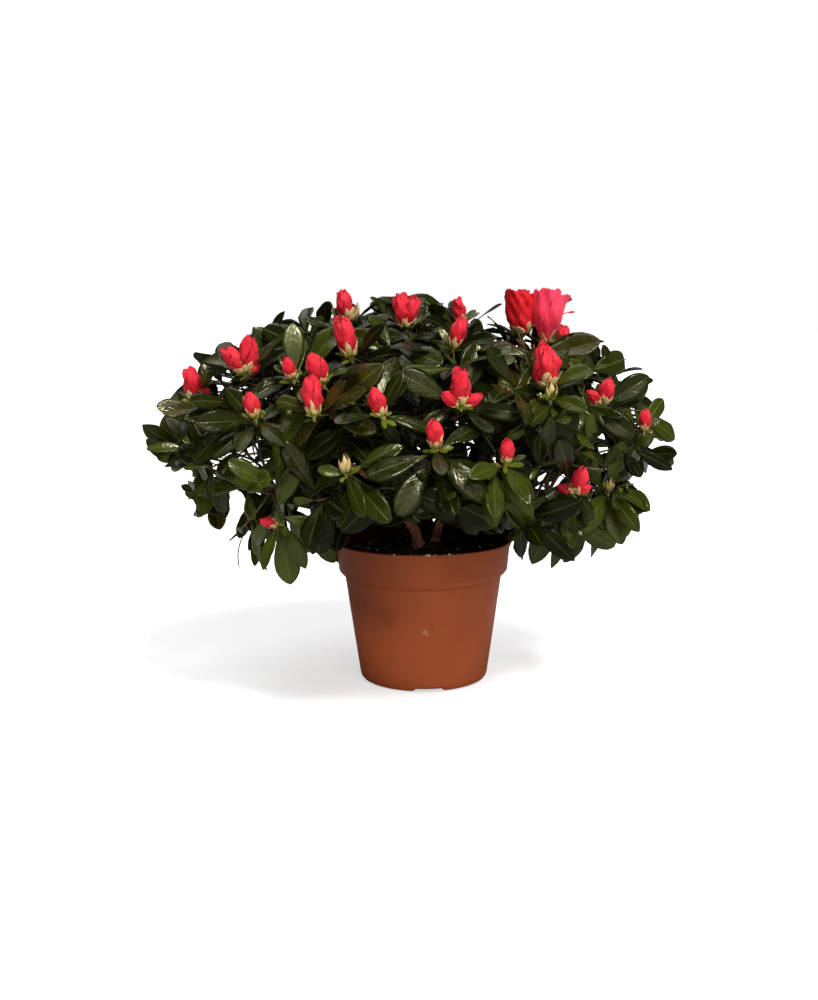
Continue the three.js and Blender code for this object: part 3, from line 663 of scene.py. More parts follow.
def tint_at(foot, draw):
    """The tint of a spray of leaves, by chance and by where its shoot stands: lighter low on its sides and
    its low left, in part painted light, and deepest over the pot's front, as painted shade.
    """
    tint = pick_tint(draw)
    # lighter tints for the low sprays, in part painted light
    if draw() < LOW_TINT_CHANCE and foot.z < LOW_TINT_HEIGHT:
        tint = LOW_TINTS[foot.x < 0][int(draw() * 2)]
    # painted shade: the sprays over the pot's front get the deepest tint
    if all(value < limit for value, limit in zip((abs(foot.x), foot.y, foot.z), SHADED_FRONT_PLACE)):
        tint = "deep"
    if all(value < limit for value, limit in zip(foot, LIT_PLACE)):
        tint = LIT_TINTS.get(tint, tint)
    return tint


def place_leaf(shoot, count, tint, draw, holds, room):
    """A list of one leaf of a shoot, or of none where it finds no room. Counts below 0 are young leaves."""
    curve, grown, low = shoot["curve"], count >= 0, shoot["foot"].z < LOW_TINT_HEIGHT
    span = LOW_LEAF_LENGTH if low else LEAF_LENGTH
    length = between(span if grown else YOUNG_LEAF_LENGTH, draw())
    width = length * between(LOW_WIDTH_SHARE if low else LEAF_WIDTH_SHARE, draw())
    share = 1 - min((FIRST_LEAF_BACK + max(count, 0) * LEAF_STEP) / curve.length, LEAF_FURTHEST_BACK)
    root, axis = curve.at(share), curve.heading(share).lerp(UP, LEAF_AXIS_UP).normalized()
    if grown:
        lift = between(LEAF_LIFT, draw()) - LEAF_LIFT_LOSS * count
    else:
        lift = YOUNG_LIFT + YOUNG_LIFT_WANDER * draw()
    spin = count * GOLDEN_ANGLE + LEAF_SPIN_WANDER * (draw() - 0.5)
    hang = between(LEAF_HANG, draw()) if grown else 0
    form = int(draw() * LEAF_FORMS)
    roll = LEAF_ROLL * (draw() - 0.5)
    for turn, size in LEAF_TRIES:
        along, upper = leaf_frame(root, axis, spin + turn, lift, hang, roll)
        spots = leaf_spots(root, along, upper, length * size, width * size)
        if not has_room(spots, grown, holds, room) or in_sky(root, along, upper, length * size, width * size):
            continue
        room["leaves"].take(spots)
        return [{"root": root, "along": along, "upper": upper, "length": length * size, "width": width * size,
                 "form": form, "tint": tint if grown else "fresh"}]
    return []


def bracts_of(shoot, draw):
    """Small pale leaves round the foot of a shoot's buds."""
    bracts = []
    for i in range(BRACTS):
        length = between(BRACT_LENGTH, draw())
        axis = shoot["curve"].heading(1).lerp(UP, BRACT_AXIS_UP).normalized()
        root = shoot["foot"] - axis * (BRACT_FIRST_BACK + BRACT_STEP * i)
        along, upper = leaf_frame(root, axis, i * GOLDEN_ANGLE + 1, between(BRACT_LIFT, draw()), 0, 0)
        form = int(draw() * LEAF_FORMS)
        bracts.append({"root": root, "along": along, "upper": upper, "length": length,
                       "width": length * BRACT_WIDTH_SHARE, "form": form, "tint": "young"})
    return bracts


def leaves_of(shoot, draw, holds, room):
    """A spiral of leaves down the last stretch of a shoot, with a few small young ones at its tip."""
    tint = tint_at(shoot["foot"], draw)
    young = YOUNG_LEAVES_BY_BUDS if shoot["buds"] else YOUNG_LEAVES
    leaves = []
    for count in range(-young, LEAVES_PER_SHOOT):
        leaves += place_leaf(shoot, count, tint, draw, holds, room)
    return leaves + (bracts_of(shoot, draw) if shoot["buds"] else [])


# Meshes

def sheet_body(middle, thickness):
    """A thin closed body round a grid of places: corners, faces, a flag for the lower faces, and UVs."""
    rows, columns = middle.shape[:2]
    inner = (rows - 2, columns - 2)
    normal = np.cross(np.gradient(middle, axis=1), np.gradient(middle, axis=0))
    normal /= np.maximum(np.linalg.norm(normal, axis=2, keepdims=True), 1e-9)
    full = np.zeros((rows, columns, 1))
    full[1:-1, 1:-1] = thickness / 2
    upper = (middle + normal * full).reshape(-1, 3)
    lower = (middle - normal * full)[1:-1, 1:-1].reshape(-1, 3)
    upper_ids = np.arange(rows * columns).reshape(rows, columns)
    lower_ids = upper_ids.copy()
    lower_ids[1:-1, 1:-1] = rows * columns + np.arange(inner[0] * inner[1]).reshape(inner)
    quads = []
    for ids, order in ((upper_ids, (0, 1, 2, 3)), (lower_ids, (3, 2, 1, 0))):
        ring = (ids[:-1, :-1], ids[:-1, 1:], ids[1:, 1:], ids[1:, :-1])
        quads.append(np.stack([ring[k] for k in order], axis=-1).reshape(-1, 4))
    flags = [False] * len(quads[0]) + [True] * len(quads[1])
    flat = np.stack(np.meshgrid(np.linspace(0, 1, columns), np.linspace(0, 1, rows)), axis=-1)
    uvs = np.vstack([flat.reshape(-1, 2), flat[1:-1, 1:-1].reshape(-1, 2)])
    return np.vstack([upper, lower]), np.vstack(quads).tolist(), flags, uvs


def ring_faces(rings, sides):
    """The four-sided faces between rings of corners."""
    faces = []
    for i in range(rings - 1):
        for k in range(sides):
            a, b = i * sides + k, i * sides + (k + 1) % sides
            faces.append([a, b, b + sides, a + sides])
    return faces


# How far along a tube or the peat its UV map counts as 1
UV_REACH = 20


def tube_body(path, radii, sides, relief=None):
    """A closed tube along a path. A relief function of the turn and the run may raise its radius."""
    path = np.array(path, float)
    ahead = np.gradient(path, axis=0)
    ahead /= np.linalg.norm(ahead, axis=1, keepdims=True)
    side = np.cross(ahead[0], (0.31, 0.92, 0.23))
    side /= np.linalg.norm(side)
    corners, uvs = [], []
    run = 0.0
    for i, (place, way, radius) in enumerate(zip(path, ahead, radii)):
        side = side - way * side.dot(way)
        side /= np.linalg.norm(side)
        other = np.cross(way, side)
        if i:
            run += np.linalg.norm(place - path[i - 1])
        for k in range(sides):
            turn = FULL_TURN * k / sides
            raised = radius * (1 + (relief(turn, run) if relief else 0))
            corners.append(place + (side * math.cos(turn) + other * math.sin(turn)) * raised)
            uvs.append((k / sides, run / UV_REACH))
    faces = ring_faces(len(path), sides)
    last = (len(path) - 1) * sides
    ends = ((range(sides - 1, -1, -1), path[0], 0), (range(last, last + sides), path[-1], run / UV_REACH))
    for ring, place, v in ends:
        ring = list(ring)
        faces += [[a, b, len(corners)] for a, b in zip(ring, ring[1:] + ring[:1])]
        corners.append(place)
        uvs.append((0.5, v))
    return np.array(corners), faces, [False] * len(faces), np.array(uvs)


def second_part(body):
    """The same body with all its faces flagged for the second material."""
    corners, faces, flags, uvs = body
    return corners, faces, [True] * len(flags), uvs


def mesh_of(name, bodies, scale=1.0, smooth=True):
    """One mesh of several bodies, with a UV map and a flag on the faces that take the second material."""
    corners, faces, flags, uvs = [], [], [], []
    for body_corners, body_faces, body_flags, body_uvs in bodies:
        base = sum(len(c) for c in corners)
        corners.append(body_corners)
        faces += [[base + i for i in face] for face in body_faces]
        flags += body_flags
        uvs.append(body_uvs)
    mesh = bpy.data.meshes.new(name)
    mesh.from_pydata((np.vstack(corners) * scale).tolist(), [], faces)
    flat = np.vstack(uvs)
    loops = np.zeros(len(mesh.loops), np.int32)
    mesh.loops.foreach_get("vertex_index", loops)
    layer = mesh.uv_layers.new(name="UVMap")
    layer.data.foreach_set("uv", flat[loops].astype(np.float32).ravel())
    second = mesh.attributes.new("second", "BOOLEAN", "FACE")
    second.data.foreach_set("value", flags)
    mesh.polygons.foreach_set("use_smooth", [smooth] * len(mesh.polygons))
    mesh.update()
    return mesh


def object_of(name, mesh):
    made = bpy.data.objects.new(name, mesh)
    bpy.context.scene.collection.objects.link(made)
    return made


# Leaf and bud forms

# How the leaves' forms differ: the fold at the midrib, the arch, the twist, the edges' curl and waves, how
# the blade widens from its foot and narrows to its tip, and the sway
LEAF_FORM = {
    "fold": (0.06, 0.3), "arch": (0.05, 0.85), "twist": (-0.4, 0.4), "curl": (0.0, 0.16),
    "wave": (0.0, 0.022), "waves": (2.0, 3.5), "phase": (0, 6), "widening": (1.1, 1.55),
    "narrowing": (0.66, 0.92), "sway": (-0.05, 0.05),
}
LEAF_ROWS = [0, 0.05, 0.09, 0.15, 0.24, 0.35, 0.46, 0.57, 0.67, 0.77, 0.85, 0.92, 0.97, 1]
LEAF_COLUMNS = [-1, -0.7, -0.36, 0, 0.36, 0.7, 1]
LEAF_STALK = 0.07
LEAF_BLADE = 0.93
STALK_HALF = 0.03
TIP_HALF = 0.012
LEAF_THICKNESS = 0.009
# a form is as wide as it is long, and this share of its width is the usual one
USUAL_WIDTH = 0.42


def leaf_half(form, share):
    """Half the width of a leaf at a share of its length."""
    peak = form["widening"] / (form["widening"] + form["narrowing"])
    top = peak ** form["widening"] * (1 - peak) ** form["narrowing"]
    blade = max(share - LEAF_STALK, 0) / LEAF_BLADE
    half = 0.5 * blade ** form["widening"] * max(1 - blade, 0) ** form["narrowing"] / top if blade > 0 else 0
    return max(half, STALK_HALF if share < 0.5 else TIP_HALF)


def leaf_form(index):
    """A leaf of length 1 and width 1 along +Y, folded at its midrib, arched, twisted and a little wavy."""
    draw = seeded(SEED + 50 * (index + 1))
    form = {key: between(span, draw()) for key, span in LEAF_FORM.items()}
    rows = []
    place = np.zeros(2)
    last = 0.0
    for share in LEAF_ROWS:
        angle = form["arch"] * (share - 0.25)
        place = place + np.array([math.cos(angle), -math.sin(angle)]) * (share - last)
        last = share
        half = leaf_half(form, share)
        turn = form["twist"] * share
        beat = FULL_TURN * form["waves"] * share + form["phase"]
        row = []
        for side in LEAF_COLUMNS:
            x = side * half
            z = form["fold"] * abs(x) * USUAL_WIDTH - form["curl"] * half * abs(side) ** 3 * USUAL_WIDTH
            z += form["wave"] * abs(side) ** 2 * math.sin(beat + (1.3 if side > 0 else 0)) * 2 * half
            # the width is scaled apart from the height, so the twist turns them by their own scales
            wide = x * math.cos(turn) - z / USUAL_WIDTH * math.sin(turn)
            wide += form["sway"] * math.sin(math.pi * share)
            tall = x * USUAL_WIDTH * math.sin(turn) + z * math.cos(turn)
            row.append((wide, place[0] + tall * math.sin(angle), place[1] + tall * math.cos(angle)))
        rows.append(row)
    return mesh_of(f"leaf_form_{index:02d}", [sheet_body(np.array(rows), LEAF_THICKNESS)])


# Each kind of bud: its height and widest radius; the share of that radius at the foot and at the tip; where
# it is widest and how it widens; its petals; how far up the scales reach; how ruffled the petals' tips are;
# how deep their folds are; and how far they wind round the bud
BUDS = {
    "green": {
        "length": 14, "radius": 3.8, "foot": 0.5, "tip": 0.05, "widest": 0.42, "rise": 1, "petals": 0,
        "cover": 1, "ruffle": 0, "crumple": 0, "furl": 0.4,
    },
    "tight": {
        "length": 15.5, "radius": 4.1, "foot": 0.45, "tip": 0.1, "widest": 0.5, "rise": 1, "petals": 4,
        "cover": 0.45, "ruffle": 0.15, "crumple": 0.7, "furl": 1.1,
    },
    "round": {
        "length": 20.5, "radius": 6, "foot": 0.4, "tip": 0.2, "widest": 0.52, "rise": 1, "petals": 4,
        "cover": 0.34, "ruffle": 0.4, "crumple": 1.1, "furl": 1,
    },
    "opening": {
        "length": 24.5, "radius": 5.6, "foot": 0.5, "tip": 0.6, "widest": 0.5, "rise": 1, "petals": 4,
        "cover": 0.42, "ruffle": 0.95, "crumple": 1.5, "furl": 0.9,
    },
    "crumpled": {
        "length": 22.5, "radius": 6, "foot": 0.55, "tip": 0.22, "widest": 0.36, "rise": 1, "petals": 5,
        "cover": 0.34, "ruffle": 0.8, "crumple": 2.5, "furl": 0.8,
    },
    "half_open": {
        "length": 31, "radius": 8.8, "foot": 0.5, "tip": 1, "widest": 0.4, "rise": 1, "petals": 5,
        "cover": 0.3, "ruffle": 1.3, "crumple": 1.6, "furl": 0.4,
    },
    "bloom": {
        "length": 40, "radius": 11, "foot": 0.26, "tip": 0.98, "widest": 0.62, "rise": 1.35, "petals": 5,
        "cover": 0.26, "ruffle": 1.25, "crumple": 0.9, "furl": 0.15,
    },
}
BUD_FORMS = 5
# Layers of petals from the outside in: their share of the bud's radius and of its height. The second has one
# petal less than the bud's count, and the third is in open buds only
PETAL_LAYERS = [(1, 1), (0.72, 1.02), (0.45, 0.95)]
INNERMOST_PETALS = 3
PETAL_SPAN = 1.6
PETAL_THICKNESS = 0.4
PETAL_HEIGHT = (0.86, 1.04)
BLOOM_HEIGHT = (0.94, 1)
# The bloom's outer petals: turn about its axis and how far the top rolls outward, in millimetres
BLOOM_PETALS = [(254, 0), (318, 6), (186, 0.5), (40, 3), (115, 1.5)]
INNER_ROLL = 1.0
SCALES_BY_PETALS = 9
SCALES_ALONE = 13
SCALE_THICKNESS = 0.35
SCALE_ROWS, SCALE_COLUMNS = 9, 5
# lengthwise folds round a bud
FOLD_COUNTS = (3, 5, 8)
# the bloom's style, with its thick tip, reaches out past the petals on one side
STYLE = (Vector((1.5, -1, 16)), Vector((9, -5, 23)), Vector((19, -6, 24)))
STYLE_RADII = [0.4] * 7 + [0.9, 0.6]


def bud_radius(kind, share):
    """The radius of a bud's outer petals at a share of its height."""
    bud = BUDS[kind]
    rising = math.sin(math.pi / 2 * min(share / bud["widest"], 1)) ** bud["rise"]
    past = max(share - bud["widest"], 0) / (1 - bud["widest"])
    return bud["radius"] * (bud["foot"] + (1 - bud["foot"]) * rising) * (1 - (1 - bud["tip"]) * past ** 2.3)


def crumpling(kind, draw):
    """The lengthwise folds that all petals of a bud share, so that they lie in each other."""
    size = BUDS[kind]["crumple"]
    folds = []
    for count in FOLD_COUNTS:
        slant, phase = between((2, 8), draw()), draw() * 6
        folds.append((count, slant, phase, size * between((0.5, 1), draw())))
    shift = draw() * 50

    def fold(around, share):
        wrinkle = noise.noise(Vector(turned(1.6, around, 3.2 * share + shift)))
        ridges = sum(deep * (abs(math.sin(count / 2 * around + slant * share + phase)) - 0.64)
                     for count, slant, phase, deep in folds)
        return 0.9 * size * wrinkle + ridges

    return fold


def petal_body(kind, turn, span, layer, height, roll, fold, draw):
    """One petal that wraps part of the way round the bud, over its neighbour's edge, with a wavy top."""
    bud = BUDS[kind]
    open_up = bud["ruffle"] > 1
    rows, columns = (18, 17) if open_up else (14, 11)
    ruffle = bud["ruffle"] * (1 if layer > 0.9 else 0.75)
    phase, beats = draw() * 6, between((1.2, 2), draw())
    scallop = between((3, 4.5), draw())
    bow = between((-0.1, 0.12), draw())
    blunt = 0.6 if open_up else 0.92
    droop = 0.09 if open_up else 0.05
    places = np.zeros((rows, columns, 3))
    for i in range(rows):
        share = i / (rows - 1)
        share = 1 - (1 - share) ** 1.25
        tip = max(share - 0.5, 0) / 0.5
        widening = 0.62 + 0.38 * math.sin(math.pi / 2 * min(share / 0.6, 1))
        half = span / 2 * widening * math.sqrt(1 - blunt * tip ** 4)
        for j in range(columns):
            side = 2 * j / (columns - 1) - 1
            around = turn + side * half + bud["furl"] * share
            radius = bud_radius(kind, share) * layer * (1 + bow * tip ** 2) + 0.45 * side
            radius += fold(around, share) * min(share * 2.5, 1) * layer
            radius += ruffle * tip ** 2 * (0.4 + 0.6 * abs(side)) * math.sin(math.pi * beats * side + phase)
            radius += roll * tip ** 2.5 * (0.5 + 0.5 * side)
            z = height * (share - droop * tip * side * side)
            z += ruffle * 0.28 * tip ** 2 * math.cos(math.pi * scallop * side + 2 * phase)
            z -= 0.35 * roll * tip ** 3
            places[i, j] = turned(max(radius, 0.15), around, z)
    corners, faces, flags, uvs = sheet_body(places, PETAL_THICKNESS)
    return corners, faces, [False] * len(flags), uvs


def scale_body(kind, turn, cover, out, draw):
    """One pointed scale that lies on the foot of the bud."""
    bud = BUDS[kind]
    places = np.zeros((SCALE_ROWS, SCALE_COLUMNS, 3))
    span = between((0.95, 1.35), draw()) * (0.7 if bud["radius"] > 9 else 1)
    tall = min(cover * between((0.55, 1.15), draw()), 1)
    flare = between((0.0, 0.35), draw()) if bud["petals"] else 0
    lean = between((-0.25, 0.25), draw()) if bud["petals"] else 0
    for i in range(SCALE_ROWS):
        share = i / (SCALE_ROWS - 1)
        up = tall * share * 0.98
        wide = span / 2 * (0.8 + 0.35 * math.sin(math.pi * share)) * (1 - share ** 2) ** 0.8 + 0.015
        radius = bud_radius(kind, up) + out + flare * share ** 3
        for j in range(SCALE_COLUMNS):
            side = 2 * j / (SCALE_COLUMNS - 1) - 1
            places[i, j] = turned(radius, turn + side * wide + lean * share, bud["length"] * up)
    return second_part(sheet_body(places, SCALE_THICKNESS))


def bud_petals(kind, draw):
    """A bud's petals, furled in layers."""
    bud = BUDS[kind]
    fold = crumpling(kind, draw)
    if not bud["petals"]:
        return []
    counts = [bud["petals"], bud["petals"] - 1] + [INNERMOST_PETALS] * (bud["ruffle"] > 1)
    bodies = []
    for petals, (layer, tall) in zip(counts, PETAL_LAYERS):
        first = draw() * 6
        for i in range(petals):
            turn = first + FULL_TURN * i / petals + 0.3 * (draw() - 0.5)
            height = bud["length"] * tall * between(PETAL_HEIGHT, draw())
            roll = 0.0
            if kind == "bloom":
                height = bud["length"] * tall * between(BLOOM_HEIGHT, draw())
                roll = INNER_ROLL
            if kind == "bloom" and layer == 1:
                turn, roll = math.radians(BLOOM_PETALS[i][0]), BLOOM_PETALS[i][1]
            span = FULL_TURN / petals * PETAL_SPAN
            bodies.append(petal_body(kind, turn, span, layer, height, roll, fold, draw))
    return bodies


def bud_form(kind, index):
    """A bud on a short stalk: its petals, with pale scales round its foot."""
    bud = BUDS[kind]
    draw = seeded(SEED + 31 * (index + 1) + 7 * len(kind))
    bodies = bud_petals(kind, draw)
    first = draw() * 6
    for i in range(SCALES_BY_PETALS if bud["petals"] else SCALES_ALONE):
        cover = bud["cover"] * (1 - 0.3 * (i % 2) - (0 if bud["petals"] else 0.1 * (i % 3)))
        out = 0.2 * bud["crumple"] + 0.2 + 0.25 * (i % 2)
        bodies.append(scale_body(kind, first + i * GOLDEN_ANGLE, cover, out, draw))
    foot = bud["radius"] * bud["foot"]
    stalk = tube_body([(0, 0, -4), (0, 0, -2), (0, 0, 0.2), (0, 0, 1.5)], [1.0, 1.05, foot, foot * 0.9], 9)
    bodies.append(second_part(stalk))
    if kind == "bloom":
        curve = Bend(*STYLE)
        last = len(STYLE_RADII) - 1
        bodies.append(tube_body([curve.at(i / last) for i in range(last + 1)], STYLE_RADII, 6))
    return mesh_of(f"{kind}_form_{index:02d}", bodies)


# Geometry Nodes

# the least and the most that a scattered crumb is scaled by
CRUMB_SCALES = (0.35, 1.3)


def new_tree(name, **inputs):
    """An empty node tree with a geometry input and output and named inputs."""
    tree = bpy.data.node_groups.new(name, "GeometryNodeTree")
    tree.interface.new_socket("Geometry", in_out="INPUT", socket_type="NodeSocketGeometry")
    for label, kind in inputs.items():
        tree.interface.new_socket(label, in_out="INPUT", socket_type=f"NodeSocket{kind}")
    tree.interface.new_socket("Geometry", in_out="OUTPUT", socket_type="NodeSocketGeometry")
    return tree, tree.nodes.new("NodeGroupInput").outputs


def fill(tree, socket, value):
    """Links a socket to a value that is a socket itself, or else sets it to the value."""
    if isinstance(value, bpy.types.NodeSocket):
        tree.links.new(value, socket)
    else:
        socket.default_value = value


def node(tree, kind, settings=None, **inputs):
    """A node with its settings and inputs."""
    made = tree.nodes.new(kind)
    for key, value in (settings or {}).items():
        setattr(made, key, value)
    for key, value in inputs.items():
        fill(tree, made.inputs[key.replace("_", " ")], value)
    return made


def live(sockets, *names):
    """A node's sockets of these names that are in use for its kind of data."""
    return [socket for socket in sockets if socket.enabled and socket.name in names]


def named(tree, name, kind):
    made = node(tree, "GeometryNodeInputNamedAttribute", {"data_type": kind}, Name=name)
    return live(made.outputs, "Attribute")[0]


def set_material(tree, geometry, material, **selection):
    made = node(tree, "GeometryNodeSetMaterial", None, Geometry=geometry, Material=material, **selection)
    return made.outputs["Geometry"]


def finish_tree(tree, geometry):
    """The tree, ended with its result."""
    tree.links.new(geometry, tree.nodes.new("NodeGroupOutput").inputs["Geometry"])
    return tree


def instances_of(tree, forms):
    made = node(tree, "GeometryNodeCollectionInfo", None, Collection=forms, Separate_Children=True,
                Reset_Children=True)
    return made.outputs["Instances"]


def placing_tree():
    """Puts one of the forms on each point, turned and sized by the point's own attributes."""
    tree, given = new_tree("place_forms", Forms="Collection", First="Material", Second="Material")
    turn = node(tree, "FunctionNodeEulerToRotation", None, Euler=named(tree, "turn", "FLOAT_VECTOR"))
    placed = node(tree, "GeometryNodeInstanceOnPoints", None, Points=given["Geometry"],
                  Instance=instances_of(tree, given["Forms"]), Pick_Instance=True,
                  Instance_Index=named(tree, "form", "INT"), Rotation=turn.outputs["Rotation"],
                  Scale=named(tree, "size", "FLOAT_VECTOR"))
    real = node(tree, "GeometryNodeRealizeInstances", None, Geometry=placed.outputs["Instances"])
    first = set_material(tree, real.outputs["Geometry"], given["First"])
    return finish_tree(tree, set_material(tree, first, given["Second"],
                                          Selection=named(tree, "second", "BOOLEAN")))


def twig_tree():
    """Turns chains of edges into tubes, as thick as their points' own attribute says."""
    tree, given = new_tree("grow_tubes", Sides="Int", First="Material")
    thickness = named(tree, "thickness", "FLOAT")
    curve = node(tree, "GeometryNodeMeshToCurve", None, Mesh=given["Geometry"])
    thick = node(tree, "GeometryNodeSetCurveRadius", None, Curve=curve.outputs["Curve"], Radius=thickness)
    ring = node(tree, "GeometryNodeCurvePrimitiveCircle", {"mode": "RADIUS"}, Resolution=given["Sides"],
                Radius=1.0)
    tube = node(tree, "GeometryNodeCurveToMesh", None, Curve=thick.outputs["Curve"],
                Profile_Curve=ring.outputs["Curve"], Fill_Caps=True)
    if "Scale" in tube.inputs:
        tree.links.new(thickness, tube.inputs["Scale"])
    real = node(tree, "GeometryNodeRealizeInstances", None, Geometry=tube.outputs["Mesh"])
    smooth = node(tree, "GeometryNodeSetShadeSmooth", None, Geometry=real.outputs["Geometry"])
    return finish_tree(tree, set_material(tree, smooth.outputs["Geometry"], given["First"]))


def crumb_tree():
    """Scatters crumb forms over the faces flagged for them, each turned and sized by chance."""
    tree, given = new_tree("scatter_crumbs", Forms="Collection", Density="Float", Seed="Int",
                           First="Material")
    spread = node(tree, "GeometryNodeDistributePointsOnFaces", None, Mesh=given["Geometry"],
                  Selection=named(tree, "second", "BOOLEAN"), Density=given["Density"], Seed=given["Seed"])
    turn = node(tree, "FunctionNodeRandomValue", {"data_type": "FLOAT_VECTOR"}, Seed=given["Seed"])
    turn.inputs["Max"].default_value = (6.3, 6.3, 6.3)
    size = node(tree, "FunctionNodeRandomValue", {"data_type": "FLOAT"}, Seed=given["Seed"])
    for socket, limit in zip(live(size.inputs, "Min", "Max"), CRUMB_SCALES):
        socket.default_value = limit
    rotation = node(tree, "FunctionNodeEulerToRotation", None, Euler=live(turn.outputs, "Value")[0])
    placed = node(tree, "GeometryNodeInstanceOnPoints", None, Points=spread.outputs["Points"],
                  Instance=instances_of(tree, given["Forms"]), Pick_Instance=True,
                  Rotation=rotation.outputs["Rotation"], Scale=live(size.outputs, "Value")[0])
    real = node(tree, "GeometryNodeRealizeInstances", None, Geometry=placed.outputs["Instances"])
    return finish_tree(tree, set_material(tree, real.outputs["Geometry"], given["First"]))


def settled(made, modifier):
    """Turns what an object's modifier makes into the object's own plain mesh, and removes the modifier."""
    bpy.context.view_layer.update()
    graph = bpy.context.evaluated_depsgraph_get()
    evaluated = made.evaluated_get(graph)
    mesh = bpy.data.meshes.new_from_object(evaluated, preserve_all_data_layers=True, depsgraph=graph)
    made.modifiers.remove(modifier)
    made.data = mesh
    return made


def grown(name, mesh, tree, values):
    """A plain mesh object that a node tree makes from a mesh and the values of its named inputs."""
    made = object_of(name, mesh)
    modifier = made.modifiers.new("grow", "NODES")
    modifier.node_group = tree
    for item in tree.interface.items_tree:
        if item.item_type == "SOCKET" and item.in_out == "INPUT" and item.name in values:
            modifier[item.identifier] = values[item.name]
    settled(made, modifier)
    made.data.name = name
    for extra in ("second", "thickness", "turn", "size", "form"):
        if extra in made.data.attributes:
            made.data.attributes.remove(made.data.attributes[extra])
    return made


def forms_collection(name, meshes):
    collection = bpy.data.collections.new(name)
    for mesh in meshes:
        collection.objects.link(bpy.data.objects.new(mesh.name, mesh))
    return collection


def clear_collection(collection):
    for form in list(collection.objects):
        mesh = form.data
        bpy.data.objects.remove(form)
        bpy.data.meshes.remove(mesh)
    bpy.data.collections.remove(collection)


def points_mesh(name, places, turns, sizes, forms):
    """Points with the turn, the size and the form that each is to get."""
    mesh = bpy.data.meshes.new(name)
    mesh.from_pydata([tuple(place * MM) for place in places], [], [])
    rows = [("turn", "FLOAT_VECTOR", "vector", turns), ("size", "FLOAT_VECTOR", "vector", sizes),
            ("form", "INT", "value", forms)]
    for label, kind, key, values in rows:
        attribute = mesh.attributes.new(label, kind, "POINT")
        attribute.data.foreach_set(key, np.array(values).ravel().tolist())
    return mesh


def chains_mesh(name, chains):
    """Chains of edges with a thickness at each point, from lists of places and radii in millimetres."""
    places, edges, radii = [], [], []
    for path, thickness in chains:
        base = len(places)
        places += [tuple(Vector(p) * MM) for p in path]
        radii += [r * MM for r in thickness]
        edges += [(base + i, base + i + 1) for i in range(len(path) - 1)]
    mesh = bpy.data.meshes.new(name)
    mesh.from_pydata(places, edges, [])
    mesh.attributes.new("thickness", "FLOAT", "POINT").data.foreach_set("value", radii)
    return mesh


# Materials

class Paint:
    """A material's node tree, with short ways to add nodes.

    Patterns use the object's own coordinates or its UV map.
    """

    def __init__(self, name):
        self.material = bpy.data.materials.new(name)
        self.material.use_nodes = True
        self.tree = self.material.node_tree
        self.shader = self.tree.nodes["Principled BSDF"]
        self.place = self.tree.nodes.new("ShaderNodeTexCoord").outputs["Object"]

    def set(self, **values):
        for key, value in values.items():
            fill(self.tree, self.shader.inputs[key.replace("_", " ")], value)
        return self.material

    def math(self, operation, *values):
        made = self.tree.nodes.new("ShaderNodeMath")
        made.operation = operation
        for i, value in enumerate(values):
            fill(self.tree, made.inputs[i], value)
        return made.outputs[0]

    def plus(self, a, b):
        return self.math("ADD", a, b)

    def less(self, a, b):
        return self.math("SUBTRACT", a, b)

    def times(self, a, b):
        return self.math("MULTIPLY", a, b)

    def most(self, a, b):
        return self.math("MAXIMUM", a, b)

    def folded(self, value):
        """0 where a value is a half, up to 1 where it is 0 or 1."""
        return self.math("ABSOLUTE", self.math("MULTIPLY_ADD", value, 2.0, -1.0))

    def noise(self, scale, detail=3, roughness=0.55, vector=None, stretch=None):
        vector = vector or self.place
        if stretch:
            vector = node(self.tree, "ShaderNodeMapping", None, Vector=vector, Scale=stretch).outputs[0]
        made = node(self.tree, "ShaderNodeTexNoise", None, Vector=vector, Scale=scale, Detail=detail,
                    Roughness=roughness)
        return made.outputs["Fac"]

    def stretched_noise(self, detail, roughness, **scaled_axes):
        """Noise over a place whose coordinates are scaled one by one, along the axes that are named."""
        place = node(self.tree, "ShaderNodeCombineXYZ", None, **scaled_axes)
        return self.noise(1.0, detail, roughness, vector=place.outputs[0])

    def cells(self, scale):
        """Cushions with sunken lines between them."""
        made = node(self.tree, "ShaderNodeTexVoronoi", {"feature": "DISTANCE_TO_EDGE"}, Vector=self.place,
                    Scale=scale)
        return self.ramp(made.outputs["Distance"], 0.0, 0.45)

    def ramp(self, value, low, high, out_low=0.0, out_high=1.0):
        made = node(self.tree, "ShaderNodeMapRange", {"interpolation_type": "SMOOTHSTEP"}, Value=value)
        for key, number in (("From Min", low), ("From Max", high), ("To Min", out_low), ("To Max", out_high)):
            made.inputs[key].default_value = number
        return made.outputs["Result"]

    def mix(self, factor, a, b):
        made = self.tree.nodes.new("ShaderNodeMix")
        made.data_type = "RGBA"
        for i, value in ((0, factor), (6, a), (7, b)):
            fill(self.tree, made.inputs[i], (*value, 1) if isinstance(value, tuple) else value)
        return made.outputs[2]

    def bump(self, height, distance, strength):
        made = node(self.tree, "ShaderNodeBump", None, Height=height, Distance=distance, Strength=strength)
        return made.outputs["Normal"]

    def uv(self):
        flat = node(self.tree, "ShaderNodeUVMap", {"uv_map": "UVMap"}).outputs["UV"]
        apart = node(self.tree, "ShaderNodeSeparateXYZ", None, Vector=flat).outputs
        return apart["X"], apart["Y"]

    def axes(self):
        apart = node(self.tree, "ShaderNodeSeparateXYZ", None, Vector=self.place).outputs
        return [apart[axis] for axis in "XYZ"]


def scaled(color, factor):
    return tuple(min(channel * factor, 1) for channel in color)


# Leaves

